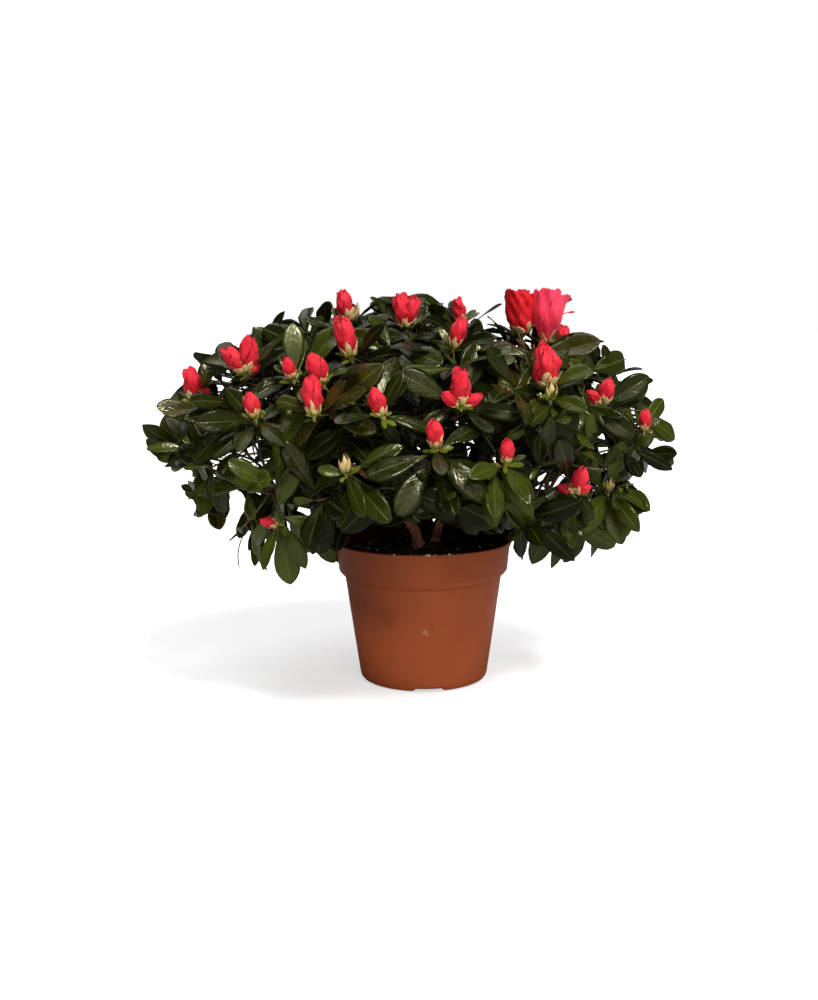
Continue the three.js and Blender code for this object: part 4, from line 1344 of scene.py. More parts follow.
VEIN_COUNT = 8.0
VEIN_SLOPE = 1.7
MIDRIB_PALE = (0.085, 0.11, 0.03)
LEAF_GLOSS_TINT = (1, 0.92, 0.6, 1)
UNDERSIDE = (0.026, 0.031, 0.006)
UNDERSIDE_VEINS = (0.068, 0.08, 0.02)
UNDERSIDE_GLOSS_TINT = (0.9, 1, 0.55, 1)
VEIN_RELIEF = 0.0006


def vein_pattern(paint):
    """How far across the leaf a point is, how near its midrib, and how near a side vein."""
    u, v = paint.uv()
    across = paint.folded(u)
    midrib = paint.ramp(across, 0.02, 0.1, 1.0, 0.0)
    step = paint.less(paint.times(v, VEIN_COUNT), paint.times(across, VEIN_SLOPE))
    saw = paint.folded(paint.math("FRACT", step))
    veins = paint.times(paint.ramp(saw, 0.5, 1.0), paint.ramp(across, 0.55, 1.0, 1.0, 0.25))
    return across, midrib, veins


def leaf_material(name, tint, gloss):
    paint = Paint(name)
    across, midrib, veins = vein_pattern(paint)
    mottle = paint.ramp(paint.noise(55, 2), 0.3, 0.7)
    color = paint.mix(mottle, scaled(tint, 0.78), scaled(tint, 1.28))
    color = paint.mix(paint.times(veins, 0.08), color, scaled(tint, 2.0))
    pale = tuple(0.5 * c + 0.5 * p for c, p in zip(scaled(tint, 2.2), MIDRIB_PALE))
    color = paint.mix(paint.times(midrib, 0.6), color, pale)
    edge = paint.ramp(across, 0.93, 1.0, 0.0, 0.4)
    color = paint.mix(edge, color, scaled(tint, 2.6))
    quilt = paint.plus(paint.times(paint.cells(300), 0.16), paint.noise(90, 3))
    height = paint.less(quilt, paint.most(paint.times(veins, 0.22), midrib))
    roughness = paint.ramp(paint.noise(120, 2), 0.3, 0.7, 0.17, 0.3)
    return paint.set(Base_Color=color, Roughness=roughness, Specular_IOR_Level=gloss,
                     Specular_Tint=LEAF_GLOSS_TINT, Normal=paint.bump(height, VEIN_RELIEF, 0.5))


def underside_material():
    paint = Paint("leaf_underside")
    _, midrib, veins = vein_pattern(paint)
    color = paint.mix(paint.noise(60, 2), scaled(UNDERSIDE, 0.7), scaled(UNDERSIDE, 1.25))
    ribs = paint.most(midrib, paint.times(veins, 0.35))
    color = paint.mix(paint.times(ribs, 0.7), color, UNDERSIDE_VEINS)
    height = paint.most(midrib, paint.times(veins, 0.6))
    return paint.set(Base_Color=color, Roughness=0.7, Specular_IOR_Level=0.12,
                     Specular_Tint=UNDERSIDE_GLOSS_TINT, Normal=paint.bump(height, VEIN_RELIEF, 0.8))


# Buds. Each finish of petal has a light colour, and a deep one for its foot, its streaks and its edges

PETALS = {
    "petal_rose": ((0.80, 0.020, 0.044), (0.46, 0.004, 0.010)),
    "petal_deep": ((0.80, 0.010, 0.016), (0.44, 0.003, 0.006)),
    # the bloom's finish is pinker and paler than the rose: its paleness is in part painted light, for the
    # shade on its flared petals
    "petal_bright": ((1.0, 0.062, 0.135), (0.92, 0.030, 0.065)),
}
PETAL_FINISH = {"half_open": "petal_deep", "bloom": "petal_bright"}
# the petals' painted glow in their own colour, for light that comes through them
PETAL_GLOW = 0.1
SCALE_FOOT = (0.20, 0.25, 0.025)
SCALE_PALE = (0.66, 0.50, 0.21)
SCALE_BLUSH = (0.62, 0.20, 0.11)
SCALE_TIP = (0.42, 0.09, 0.05)


def petal_material(name):
    """Streaked and blotched, with deeper edges and tops. A faint painted glow in their own colour stands in
    for light that comes through from behind.
    """
    light, deep = PETALS[name]
    paint = Paint(name)
    u, v = paint.uv()
    color = paint.mix(paint.ramp(v, 0.15, 0.9), deep, light)
    streaks = paint.stretched_noise(2, 0.5, X=paint.times(u, 26.0), Y=paint.times(v, 3.0))
    color = paint.mix(paint.ramp(streaks, 0.4, 0.75, 0.0, 0.5), color, deep)
    blotch = paint.ramp(paint.noise(260, 2), 0.35, 0.7, 0.0, 0.35)
    color = paint.mix(blotch, color, scaled(light, 1.15))
    rim = paint.most(paint.ramp(paint.folded(u), 0.7, 1.0, 0.0, 0.5), paint.ramp(v, 0.86, 1.0, 0.0, 0.5))
    color = paint.mix(rim, color, deep)
    height = paint.plus(streaks, paint.times(paint.noise(500, 3), 0.6))
    return paint.set(Base_Color=color, Roughness=0.5, Specular_IOR_Level=0.26, Sheen_Weight=0.06,
                     Sheen_Roughness=0.4, Emission_Color=color, Emission_Strength=PETAL_GLOW,
                     Normal=paint.bump(height, 0.0009, 0.7))


def scale_material():
    paint = Paint("bud_scales")
    u, v = paint.uv()
    color = paint.mix(paint.ramp(v, 0.1, 0.75), SCALE_FOOT, SCALE_PALE)
    color = paint.mix(paint.ramp(paint.noise(420, 2), 0.42, 0.7, 0.0, 0.6), color, SCALE_BLUSH)
    tip = paint.most(paint.ramp(v, 0.8, 1.0, 0.0, 0.7), paint.ramp(paint.folded(u), 0.75, 1.0, 0.0, 0.35))
    color = paint.mix(tip, color, SCALE_TIP)
    return paint.set(Base_Color=color, Roughness=0.5, Specular_IOR_Level=0.4,
                     Normal=paint.bump(paint.noise(1100, 2), 0.0002, 0.5))


# Bark, twigs and roots

BARK = (0.560, 0.230, 0.125)
BARK_CRACKS = (0.140, 0.052, 0.030)
# each twig finish's two colours
TWIGS = {
    "twig_old": ((0.105, 0.060, 0.030), (0.060, 0.032, 0.018)),
    "twig_young": ((0.105, 0.105, 0.030), (0.120, 0.060, 0.030)),
    "fibre": ((0.10, 0.065, 0.035), (0.05, 0.03, 0.018)),
}


def bark_material():
    paint = Paint("bark")
    coarse = paint.noise(150, 4, 0.6, stretch=(1, 1, 0.3))
    fine = paint.noise(900, 3, 0.65, stretch=(1, 1, 0.35))
    color = paint.mix(paint.ramp(coarse, 0.32, 0.68), BARK_CRACKS, BARK)
    color = paint.mix(paint.ramp(fine, 0.45, 0.8, 0.0, 0.55), color, scaled(BARK, 1.8))
    height = paint.plus(coarse, paint.times(fine, 0.4))
    return paint.set(Base_Color=color, Roughness=0.82, Specular_IOR_Level=0.3,
                     Normal=paint.bump(height, 0.0007, 0.8))


def twig_material(name):
    base, other = TWIGS[name]
    paint = Paint(name)
    color = paint.mix(paint.ramp(paint.noise(260, 3), 0.35, 0.65), base, other)
    color = paint.mix(paint.ramp(paint.noise(1500, 2), 0.55, 0.8, 0.0, 0.5), color, scaled(base, 0.45))
    return paint.set(Base_Color=color, Roughness=0.65, Specular_IOR_Level=0.35,
                     Normal=paint.bump(paint.noise(900, 3), 0.0003, 0.6))


# Pot

PLASTIC = (0.350, 0.077, 0.0225)
PEAT_SPLASH = (0.05, 0.025, 0.016)
LIME = (0.42, 0.24, 0.17)
RUBBED = (0.34, 0.12, 0.06)
# the near black of the pot's inside wall, painted shade
INSIDE_SHADE = (0.012, 0.007, 0.005)
# the middle of the side wall at the pot's foot, and how much it widens with height
INNER_WALL_FOOT = 0.0578
INNER_WALL_SLOPE = 0.1
MOULD_RING_BEAT = 2600.0
TURNING_BEAT = 900.0
# Rubbed and splashed spots on the pot's front: middle in metres, reach and colour
SCUFFS = [
    ((-0.0275, -0.0500, 0.0600), 0.0075, (0.235, 0.043, 0.011)),
    ((0.0003, -0.0576, 0.0500), 0.0019, (0.55, 0.30, 0.20)),
    ((0.0024, -0.0575, 0.0480), 0.0011, (0.50, 0.25, 0.16)),
    ((0.0062, -0.0578, 0.0552), 0.0012, (0.06, 0.012, 0.008)),
    ((0.0045, -0.0577, 0.0530), 0.0008, (0.08, 0.016, 0.010)),
]


def plastic_color(paint, x, y, z):
    """The plastic itself: paler towards its foot, more so on the left, as painted light, with painted shade
    darkening its band and the left of its front.
    """
    color = paint.mix(paint.ramp(paint.noise(16, 3), 0.3, 0.7), scaled(PLASTIC, 0.93), scaled(PLASTIC, 1.07))
    streak = paint.noise(45, 3, 0.6, stretch=(1, 1, 0.12))
    color = paint.mix(paint.ramp(streak, 0.5, 0.8, 0.0, 0.16), color, scaled(PLASTIC, 1.5))
    # painted light: the plastic pales towards the foot, more so on the left
    painted_foot_light = paint.times(paint.ramp(z, 0.0, 0.075, 0.95, 0.0), paint.ramp(x, -0.03, 0.035, 1.0, 0.35))
    color = paint.mix(painted_foot_light, color, scaled(PLASTIC, 1.58))
    # painted shade: the band under the crown is darker
    color = paint.mix(paint.ramp(z, 0.082, 0.09, 0.0, 0.6), color, scaled(PLASTIC, 0.76))
    # painted shade on the left of the front, fading out towards the foot
    wavy = paint.plus(x, paint.times(paint.noise(30, 3), 0.014))
    front = paint.times(paint.ramp(y, -0.03, 0.01, 1.0, 0.0), paint.ramp(z, 0.034, 0.074))
    painted_left_shade = paint.times(paint.ramp(wavy, -0.052, 0.002, 0.85, 0.0), front)
    return paint.mix(painted_left_shade, color, scaled(PLASTIC, 0.37))


def soiled_and_crease_shaded(paint, color, z):
    """Splashed peat and lime under the rim, scuffs on the front, and painted shade in the crease under the
    band.
    """
    near_rim = paint.ramp(z, 0.098, 0.112)
    specks = paint.ramp(paint.noise(420, 3, 0.7), 0.63, 0.72)
    color = paint.mix(paint.times(paint.times(specks, near_rim), 0.55), color, PEAT_SPLASH)
    lime = paint.ramp(paint.noise(150, 4, 0.7), 0.6, 0.8)
    color = paint.mix(paint.times(paint.times(lime, near_rim), 0.3), color, LIME)
    for middle, reach, tone in SCUFFS:
        moved = node(paint.tree, "ShaderNodeMapping", None, Vector=paint.place, Location=[-v for v in middle])
        away = node(paint.tree, "ShaderNodeVectorMath", {"operation": "LENGTH"}, Vector=moved.outputs[0])
        ragged = paint.plus(away.outputs["Value"], paint.times(paint.noise(700, 3, 0.7), reach))
        color = paint.mix(paint.ramp(ragged, reach * 0.8, reach * 1.9, 0.7, 0.0), color, tone)
    rub = paint.ramp(paint.noise(260, 4, 0.7, stretch=(1, 1, 2.5)), 0.66, 0.74, 0.0, 0.22)
    color = paint.mix(rub, color, RUBBED)
    # painted shade along the crease under the band
    from_crease = paint.math("ABSOLUTE", paint.less(z, SHOULDER_HEIGHT * MM))
    return paint.mix(paint.ramp(from_crease, 0.0002, 0.0022, 0.45, 0.0), color, scaled(PLASTIC, 0.4))


def shaded_inside(paint, color, x, y, z):
    """The inside, painted dark as shade up to the rim."""
    out = paint.math("SQRT", paint.plus(paint.times(x, x), paint.times(y, y)))
    mid_wall = paint.math("MULTIPLY_ADD", z, INNER_WALL_SLOPE, INNER_WALL_FOOT)
    inside = paint.ramp(paint.less(out, mid_wall), -0.0004, 0.0004, 0.96, 0.0)
    return paint.mix(paint.times(inside, paint.ramp(z, 0.0902, 0.0908)), color, INSIDE_SHADE)


def pot_material():
    """Matt moulded plastic, with faint turned rings from the mould and a fine orange peel."""
    paint = Paint("pot_plastic")
    x, y, z = paint.axes()
    color = soiled_and_crease_shaded(paint, plastic_color(paint, x, y, z), z)
    color = shaded_inside(paint, color, x, y, z)
    rings = paint.math("SINE", paint.times(z, MOULD_RING_BEAT))
    turning = paint.stretched_noise(3, 0.7, Z=paint.times(z, TURNING_BEAT))
    color = paint.mix(paint.ramp(turning, 0.35, 0.7, 0.0, 0.3), color, scaled(PLASTIC, 0.72))
    grooves = paint.times(paint.plus(rings, paint.times(turning, 6.0)), 0.10)
    height = paint.plus(grooves, paint.noise(900, 3, 0.6))
    roughness = paint.ramp(paint.noise(40, 4), 0.3, 0.7, 0.4, 0.54)
    return paint.set(Base_Color=color, Roughness=roughness, Specular_IOR_Level=0.11,
                     Normal=paint.bump(height, 0.00012, 0.55))


# Peat and grains

PEAT = (0.0200, 0.0115, 0.0075)
GRAIN_DARK = (0.34, 0.27, 0.2)
GRAIN_PALE = (0.66, 0.58, 0.48)


def peat_material():
    paint = Paint("peat")
    coarse, fine = paint.noise(140, 4, 0.65), paint.noise(1300, 3, 0.7)
    color = paint.mix(paint.ramp(coarse, 0.35, 0.65), scaled(PEAT, 0.5), scaled(PEAT, 1.5))
    color = paint.mix(paint.ramp(fine, 0.62, 0.8, 0.0, 0.6), color, scaled(PEAT, 5))
    height = paint.plus(coarse, paint.times(fine, 0.5))
    return paint.set(Base_Color=color, Roughness=0.93, Specular_IOR_Level=0.25,
                     Normal=paint.bump(height, 0.0012, 0.9))


def grain_material():
    paint = Paint("pale_grain")
    color = paint.mix(paint.noise(1500, 2), GRAIN_DARK, GRAIN_PALE)
    return paint.set(Base_Color=color, Roughness=0.8, Normal=paint.bump(paint.noise(2500, 2), 0.0002, 0.6))


# Pot

DRAIN_CUT = (-2, 3, 9)
NOTCH_REACH = 49
NOTCH_TURNS = 60
LATHE_SIDES = 192
LATHE_STEP = 9
CORNER_STEPS = 4


def arc_corner(before, corner, after, radius):
    """Places that round a corner of a profile."""
    corner = np.array(corner, float)
    ways = [np.array(other, float) - corner for other in (before, after)]
    start, end = [corner + way / np.linalg.norm(way) * radius for way in ways]
    return [tuple(start * (1 - t) ** 2 + corner * 2 * t * (1 - t) + end * t * t)
            for t in np.linspace(0, 1, CORNER_STEPS + 1)]


def rounded_profile(corners):
    """A profile from (radius, height, rounding) corners."""
    profile = []
    for i, (radius, height, rounding) in enumerate(corners):
        if rounding == 0:
            profile.append((radius, height))
            continue
        before, after = corners[i - 1][:2], corners[(i + 1) % len(corners)][:2]
        profile += arc_corner(before, (radius, height), after, rounding)
    return profile


def filled_in(profile, step):
    """A profile with more places on its long straight stretches."""
    dense = [profile[0]]
    for a, b in zip(profile, profile[1:]):
        count = max(1, int(math.dist(a, b) // step))
        for k in range(1, count + 1):
            dense.append(tuple(p + (q - p) * k / count for p, q in zip(a, b)))
    return dense


def lathe_body(profile, sides, lift):
    """A closed turned body from a profile that starts and ends on the axis. lift sets a place's height."""
    corners, uvs = [], []
    inner = profile[1:-1]
    for radius, height in inner:
        for k in range(sides):
            turn = FULL_TURN * k / sides
            corners.append(turned(radius, turn, lift(radius, height, turn)))
            uvs.append((k / sides, height / POT_HEIGHT))
    faces = ring_faces(len(inner), sides)
    for first, pole, flip in ((0, profile[0], True), ((len(inner) - 1) * sides, profile[-1], False)):
        for k in range(sides):
            a, b = first + k, first + (k + 1) % sides
            faces.append([b, a, len(corners)] if flip else [a, b, len(corners)])
        corners.append((0, 0, lift(0, pole[1], 0)))
        uvs.append((0.5, 0.5))
    return np.array(corners), faces, [False] * len(faces), np.array(uvs)


def notch_lift(radius, height, turn):
    """The height of a place of the pot, raised where a notch cuts into the foot ring."""
    if radius < FOOT_RADIUS - FOOT_RING_WIDTH - 1 or height >= NOTCH_HEIGHT:
        return height
    for i in range(NOTCH_COUNT):
        off = half_turned(math.degrees(turn) - NOTCH_FRONT_TURN - i * 360 / NOTCH_COUNT)
        along = abs(math.sin(math.radians(off)) * NOTCH_REACH)
        if abs(off) <= NOTCH_TURNS and along <= NOTCH_WIDTH / 2:
            slant = (NOTCH_WIDTH - NOTCH_TOP_WIDTH) / 2
            return max(height, NOTCH_HEIGHT * min((NOTCH_WIDTH / 2 - along) / slant, 1))
    return height


def pot_profile():
    """The pot's section, from the middle of its underside round its wall to the middle of its floor."""
    ring_inside = FOOT_RADIUS - FOOT_RING_WIDTH
    floor_top = FLOOR_HEIGHT + POT_WALL
    underside = [
        (0, 0, 0), (CENTRE_PAD_RADIUS, 0, 0.4), (CENTRE_PAD_RADIUS + 1, FLOOR_HEIGHT, 0.4),
        (ring_inside - 1, FLOOR_HEIGHT, 0.4), (ring_inside, 0, 0.4),
    ]
    outside = [
        (SIDE_FOOT_RADIUS - 0.4, 0, 5.5), (SHOULDER_RADIUS, SHOULDER_HEIGHT, 0.4),
        (BAND_FOOT_RADIUS, BAND_FOOT_HEIGHT, 1.3), (RIM_RADIUS, POT_HEIGHT, RIM_EDGE),
    ]
    inside = [
        (RIM_RADIUS - 2 * RIM_EDGE, POT_HEIGHT, RIM_EDGE),
        (BAND_FOOT_RADIUS - POT_WALL, BAND_FOOT_HEIGHT + 1, 1),
        (SHOULDER_RADIUS - POT_WALL, SHOULDER_HEIGHT + 1, 1),
        (SIDE_FOOT_RADIUS - POT_WALL - 0.6, floor_top, 3), (0, floor_top, 0),
    ]
    return filled_in(rounded_profile(underside + outside + inside), LATHE_STEP)


def make_pot():
    walls = lathe_body(pot_profile(), LATHE_SIDES, notch_lift)
    pot = object_of("pot_moulded", mesh_of("pot_moulded", [walls], MM))
    drains = []
    for i in range(DRAIN_COUNT):
        x, y, _ = turned(DRAIN_RING_RADIUS, FULL_TURN * i / DRAIN_COUNT)
        drains.append(tube_body([(x, y, z) for z in DRAIN_CUT], [DRAIN_RADIUS] * 3, 24))
    cutter = object_of("drain_cutter", mesh_of("drain_cutter", drains, MM, smooth=False))
    modifier = pot.modifiers.new("drains", "BOOLEAN")
    modifier.operation = "DIFFERENCE"
    modifier.solver = "EXACT"
    modifier.object = cutter
    settled(pot, modifier)
    bpy.data.objects.remove(cutter)
    pot.data.materials.clear()
    pot.data.materials.append(pot_material())
    return pot


# Peat

SOIL_EDGE_SPAN = 28
# the height and the reach of the peat's lumps, of its fine grain and of the mounds round the stems
LUMPS = (2.2, 17)
FINE_LUMPS = (0.9, 3.1)
MOUND = (1.6, 11)
PEAT_SIDES = 120
PEAT_RINGS = np.linspace(2.2, 65.4, 30)
CRUMB_FORMS = 6
CRUMB_PATH = [(0, 0, -1.1), (0.1, 0, -0.7), (0, 0.1, 0), (0.1, 0, 0.7), (0, 0, 1.1)]
CRUMB_DENSITY = 130000.0
RIM_CRUMBS = 46
RIM_CRUMB_SIZE = 0.5
# the turn of the rim's front, and how far to either side of it the spilt crumbs reach
RIM_FRONT_TURN = 270
RIM_CRUMB_SPREAD = 75
PALE_GRAINS = 26
GRAIN_SIZE = 0.62
GRAIN_REACH = 60
# turns of the grains that lie on the rim
RIM_GRAINS = (270.5, 271.8, 273.4, 275.9, 277.1, 262, 283, 286, 251)
FIBRES = 90
FIBRE_LENGTH = (5, 17)
FIBRE_STEPS = 5
# how far from the pot's axis a fibre's middle may lie, and its ends
FIBRE_MIDDLE_REACH = 62
FIBRE_REACH = 63


def peat_height(x, y):
    """The lumpy top of the peat, lower at its edge and drawn up round the stems."""
    radius = math.hypot(x, y)
    height = SOIL_TOP - SOIL_EDGE_DROP * max(0, (radius - SOIL_FLAT_RADIUS) / SOIL_EDGE_SPAN) ** 1.3
    place = Vector((x, y, 0))
    lumps = LUMPS[0] * (noise.fractal(place / LUMPS[1], 1.0, 2.0, 3) - 0.1)
    height += lumps + FINE_LUMPS[0] * noise.noise(place / FINE_LUMPS[1])
    for stem in (TRUNK, SECOND):
        away = math.hypot(x - stem["foot"][0], y - stem["foot"][1])
        height += MOUND[0] * math.exp(-(away / MOUND[1]) ** 2)
    return height


def peat_spot(reach, draw):
    """A spot of the peat by chance, within a reach of the pot's axis."""
    turn, out = draw() * FULL_TURN, reach * math.sqrt(draw())
    return turned(out, turn)[:2]


def peat_bed():
    """The body of the peat: its lumpy top in rings, flagged for the crumbs, and its plain sides below."""
    floor = FLOOR_HEIGHT + POT_WALL + GAP
    sides = [
        (BAND_FOOT_RADIUS - POT_WALL - 1.2, BAND_FOOT_HEIGHT + 3),
        (SHOULDER_RADIUS - POT_WALL - 1, SHOULDER_HEIGHT), (SIDE_FOOT_RADIUS - POT_WALL - 1.5, 12),
        (SIDE_FOOT_RADIUS - 3 * POT_WALL - 2, floor),
    ]
    turns = [FULL_TURN * k / PEAT_SIDES for k in range(PEAT_SIDES)]
    corners, uvs = [], []
    for radius in PEAT_RINGS:
        for turn in turns:
            x, y, _ = turned(radius, turn)
            corners.append((x, y, peat_height(x, y)))
            uvs.append((x / UV_REACH, y / UV_REACH))
    for radius, height in sides:
        corners += [turned(radius, turn, height) for turn in turns]
        uvs += [(k / 6, height / UV_REACH) for k in range(PEAT_SIDES)]
    count = len(PEAT_RINGS) + len(sides)
    faces = [quad[::-1] for quad in ring_faces(count, PEAT_SIDES)]
    flags = [True] * PEAT_SIDES * (len(PEAT_RINGS) - 1) + [False] * PEAT_SIDES * len(sides)
    centre, last = len(corners), (count - 1) * PEAT_SIDES
    corners += [(0, 0, peat_height(0, 0)), (0, 0, floor)]
    uvs += [(0, 0), (0, 0)]
    for k in range(PEAT_SIDES):
        after = (k + 1) % PEAT_SIDES
        faces += [[k, after, centre], [last + after, last + k, centre + 1]]
        flags += [True, False]
    return mesh_of("peat_bed", [(np.array(corners), faces, flags, np.array(uvs))], MM)


def crumb_form(index):
    """A lumpy crumb of peat, about 2 mm across."""
    draw = seeded(900 + index)
    radii = [0.15, 0.8, between((0.9, 1.4), draw()), 0.8, 0.15]
    lumps = [0.25 * draw() for _ in range(2)]

    def relief(turn, run):
        return lumps[0] * math.sin(turn * 2 + run) + lumps[1] * math.sin(turn * 3 + 2 * run)

    return mesh_of(f"crumb_form_{index}", [tube_body(CRUMB_PATH, radii, 7, relief)], MM, smooth=False)


def rim_crumb_places(draw):
    """Crumbs spilt on the rim, most of them at its front."""
    places = []
    for _ in range(RIM_CRUMBS):
        turn = math.radians(RIM_FRONT_TURN + RIM_CRUMB_SPREAD * (draw() + draw() - 1))
        reach = RIM_RADIUS - RIM_EDGE + 0.9 * (draw() - 0.5)
        places.append(Vector(turned(reach, turn, POT_HEIGHT - 0.05)))
    return places


def grain_places(draw):
    """Pale grains on the rim's front, then all over the peat."""
    places = [Vector(turned(RIM_RADIUS - 0.7, math.radians(turn), POT_HEIGHT)) for turn in RIM_GRAINS]
    for _ in range(PALE_GRAINS):
        x, y = peat_spot(GRAIN_REACH, draw)
        places.append(Vector((x, y, peat_height(x, y) + 0.9)))
    return places


def make_peat(placing):
    """The peat with its crumbs, those on the rim, and the pale grains."""
    bed, peat = peat_bed(), peat_material()
    forms = forms_collection("crumb_forms", [crumb_form(i) for i in range(CRUMB_FORMS)])
    values = {"Forms": forms, "Density": CRUMB_DENSITY, "Seed": 5, "First": peat}
    scattered = grown("peat_crumbs", bed.copy(), crumb_tree(), values)
    draw = seeded(61)
    rim, grains = rim_crumb_places(draw), grain_places(draw)
    pieces = [object_of("peat_bed", bed), scattered]
    loose = [("rim_crumbs", rim, RIM_CRUMB_SIZE, peat), ("pale_grains", grains, GRAIN_SIZE, grain_material())]
    for name, places, size, material in loose:
        turns = [(draw() * 6, draw() * 6, draw() * 6) for _ in places]
        sizes = [(size * (0.5 + draw()),) * 3 for _ in places]
        mesh = points_mesh(name, places, turns, sizes, [i % CRUMB_FORMS for i in range(len(places))])
        pieces.append(grown(name, mesh, placing, {"Forms": forms, "First": material, "Second": material}))
    clear_collection(forms)
    bed.attributes.remove(bed.attributes["second"])
    bed.materials.append(peat)
    return pieces


def make_fibres(tubes):
    """Short roots and straws that lie on the peat."""
    chains = []
    draw = seeded(77)
    for _ in range(FIBRES):
        x, y = peat_spot(FIBRE_MIDDLE_REACH, draw)
        heading = draw() * FULL_TURN
        length = between(FIBRE_LENGTH, draw())
        bow = (draw() - 0.5) * 1.6
        path = []
        for k in range(FIBRE_STEPS + 1):
            share = k / FIBRE_STEPS - 0.5
            angle = heading + bow * share
            px, py = x + math.cos(angle) * length * share, y + math.sin(angle) * length * share
            if math.hypot(px, py) > FIBRE_REACH:
                break
            path.append((px, py, peat_height(px, py) + 0.5 + 0.6 * draw()))
        if len(path) > FIBRE_STEPS:
            chains.append((path, [0.16 + 0.12 * draw()] * len(path)))
    values = {"Sides": 5, "First": twig_material("fibre")}
    return grown("peat_fibres", chains_mesh("peat_fibres", chains), tubes, values)


# Stems and boughs

KNOTS = 7
KNOT_HEIGHT = 0.22
STEM_STEPS = 30
STEM_SIDES = 44
# how many ridges the bark has round a limb, and how deep they are as a share of its radius
STEM_RIDGES = (5, 0.07)
BOUGH_RIDGES = (4, 0.06)
BOUGH_STEP = 1.6
BOUGH_SIDES = 20
BOUGH_SWELL = 1.6
BOUGH_SWELL_REACH = 5


def bark_relief(seed, ridges, depth):
    """Lengthwise ridges that wander round a limb, with a few knots."""
    draw = seeded(seed)
    phases = [draw() * 6 for _ in range(4)]
    knots = [(draw() * 6.28, draw() * 70) for _ in range(KNOTS)]

    def relief(turn, run):
        wander = 0.7 * math.sin(run * 0.13 + phases[0]) + 0.4 * math.sin(run * 0.41 + phases[1])
        raised = depth * math.sin(ridges * (turn + wander) + phases[2])
        raised += 0.6 * depth * math.sin((2 * ridges + 1) * (turn - 0.6 * wander) + run * 0.9 + phases[3])
        raised += 0.5 * depth * noise.noise(Vector(turned(2, turn, run * 0.35 + seed)))
        for around, along in knots:
            past = (turn - around + math.pi) % FULL_TURN - math.pi
            off = math.hypot(past * 2.2, (run - along) * 0.7)
            raised += KNOT_HEIGHT * math.exp(-off * off)
        return raised

    return relief


def make_stem(stem, seed):
    """A stem from the peat to its fork, flared at its foot and swollen at its fork."""
    base = SOIL_TOP + GAP
    end = Vector(stem["fork"])
    height = end.z - base
    bend = Vector((*stem["foot"], base + STEM_UPRIGHT_SHARE * height))
    curve = Bend(Vector((*stem["foot"], base)), bend, end)
    path, radii = [], []
    for i in range(STEM_STEPS + 1):
        share = i / STEM_STEPS
        flare = (stem["flare"] - stem["radius"]) * max(0, 1 - share * height / FLARE_REACH) ** 2
        radius = stem["radius"] * (1 - STEM_TAPER * share) + flare
        swell = (stem["knuckle"] - stem["radius"]) * KNUCKLE_SWELL
        radius += swell * max(0, (share - KNUCKLE_START) / KNUCKLE_SPAN) ** 1.5
        path.append(tuple(curve.at(share)))
        radii.append(radius)
    top, full = Vector(path[-1]), radii[-1]
    for share, shrink in STEM_END:
        path.append(tuple(top + curve.heading(1) * stem["knuckle"] * share))
        radii.append(full * shrink)
    return tube_body(path, radii, STEM_SIDES, bark_relief(seed, *STEM_RIDGES))


def make_bough(curve, seed):
    count = max(14, int(curve.length / BOUGH_STEP))
    path, radii = [], []
    for i in range(count + 1):
        share = i / count
        swell = BOUGH_SWELL * math.exp(-share * curve.length / BOUGH_SWELL_REACH)
        path.append(tuple(curve.at(share)))
        radii.append(between((BOUGH_RADIUS, BOUGH_TIP_RADIUS), share) + swell)
    return tube_body(path, radii, BOUGH_SIDES, bark_relief(seed, *BOUGH_RIDGES))


# Foliage

# a dry leafless stalk that hangs below the crown's left side
DRY_STALK = (Vector((-133, -62, 132)), Vector((-143, -66, 118)), Vector((-139, -66, 102)))
DRY_STALK_RADII = [0.5] * TWIG_STEPS + [0.2]
BUD_TURNS = 6.28
# heights in a bud, as shares of its length, that leaves keep clear of, and those that they keep in sight
BUD_BODY = (0.35, 0.65, 0.95)
BUD_SIGHT = (0.12, 0.4, 0.7, 0.95)


def twig_chain(curve, radius, first, last):
    """A stretch of a twig, as places and radii."""
    shares = [first + i / TWIG_STEPS * (last - first) for i in range(TWIG_STEPS + 1)]
    return [curve.at(share) for share in shares], [between((radius, TWIG_END_RADIUS), s) for s in shares]


def grow_limbs(masses, boughs_room):
    """Boughs and twigs in every mass: the boughs' bodies, then the old and the young twigs' chains."""
    bodies, old, young = [], [], []
    for index, mass in enumerate(masses):
        stem = TRUNK if mass["centre"].x < CROWN_MIDDLE.x + TRUNK_REACH else SECOND
        bough = bough_to(mass, stem)
        bodies.append(make_bough(bough, 20 + index))
        boughs_room.take([bough.at(i / 30) for i in range(31)])
        mass["holds"] = cell_of(mass, masses)
        start = bough.at(1) - bough.heading(1) * TWIG_START_BACK
        for curve, radius in grow_twigs(start, bough.heading(1), mass["shoots"], 0, mass["holds"]):
            split = max(0, 1 - YOUNG_REACH / curve.length)
            if split > 0:
                old.append(twig_chain(curve, radius, 0, split))
            young.append(twig_chain(curve, radius, split, 1))
    return bodies, old, young


def place_bud(shoot, kind, lean, size, draw, room):
    """A bud on its shoot. Leaves keep clear of it, and none hangs before it at the front."""
    turn = Matrix.Rotation(math.radians(lean), 3, "Y")
    foot = shoot["foot"] + turn @ Vector((0, 0, 0.5))
    length = BUDS[kind]["length"] * size
    room["leaves"].take([foot + turn @ Vector((0, 0, length * s)) for s in BUD_BODY])
    if shoot["shown"]:
        wide = BUDS[kind]["radius"] * size * 0.7
        body = [foot + turn @ Vector((x, 0, length * s)) for s in BUD_SIGHT for x in (-wide, 0, wide)]
        for place in body:
            room["sight"].take([place + (EYE - place).normalized() * reach for reach in SIGHT_STEPS])
    spin = draw() * BUD_TURNS * (kind != "bloom")
    return {"kind": kind, "lean": lean, "size": size, "foot": foot, "spin": spin}


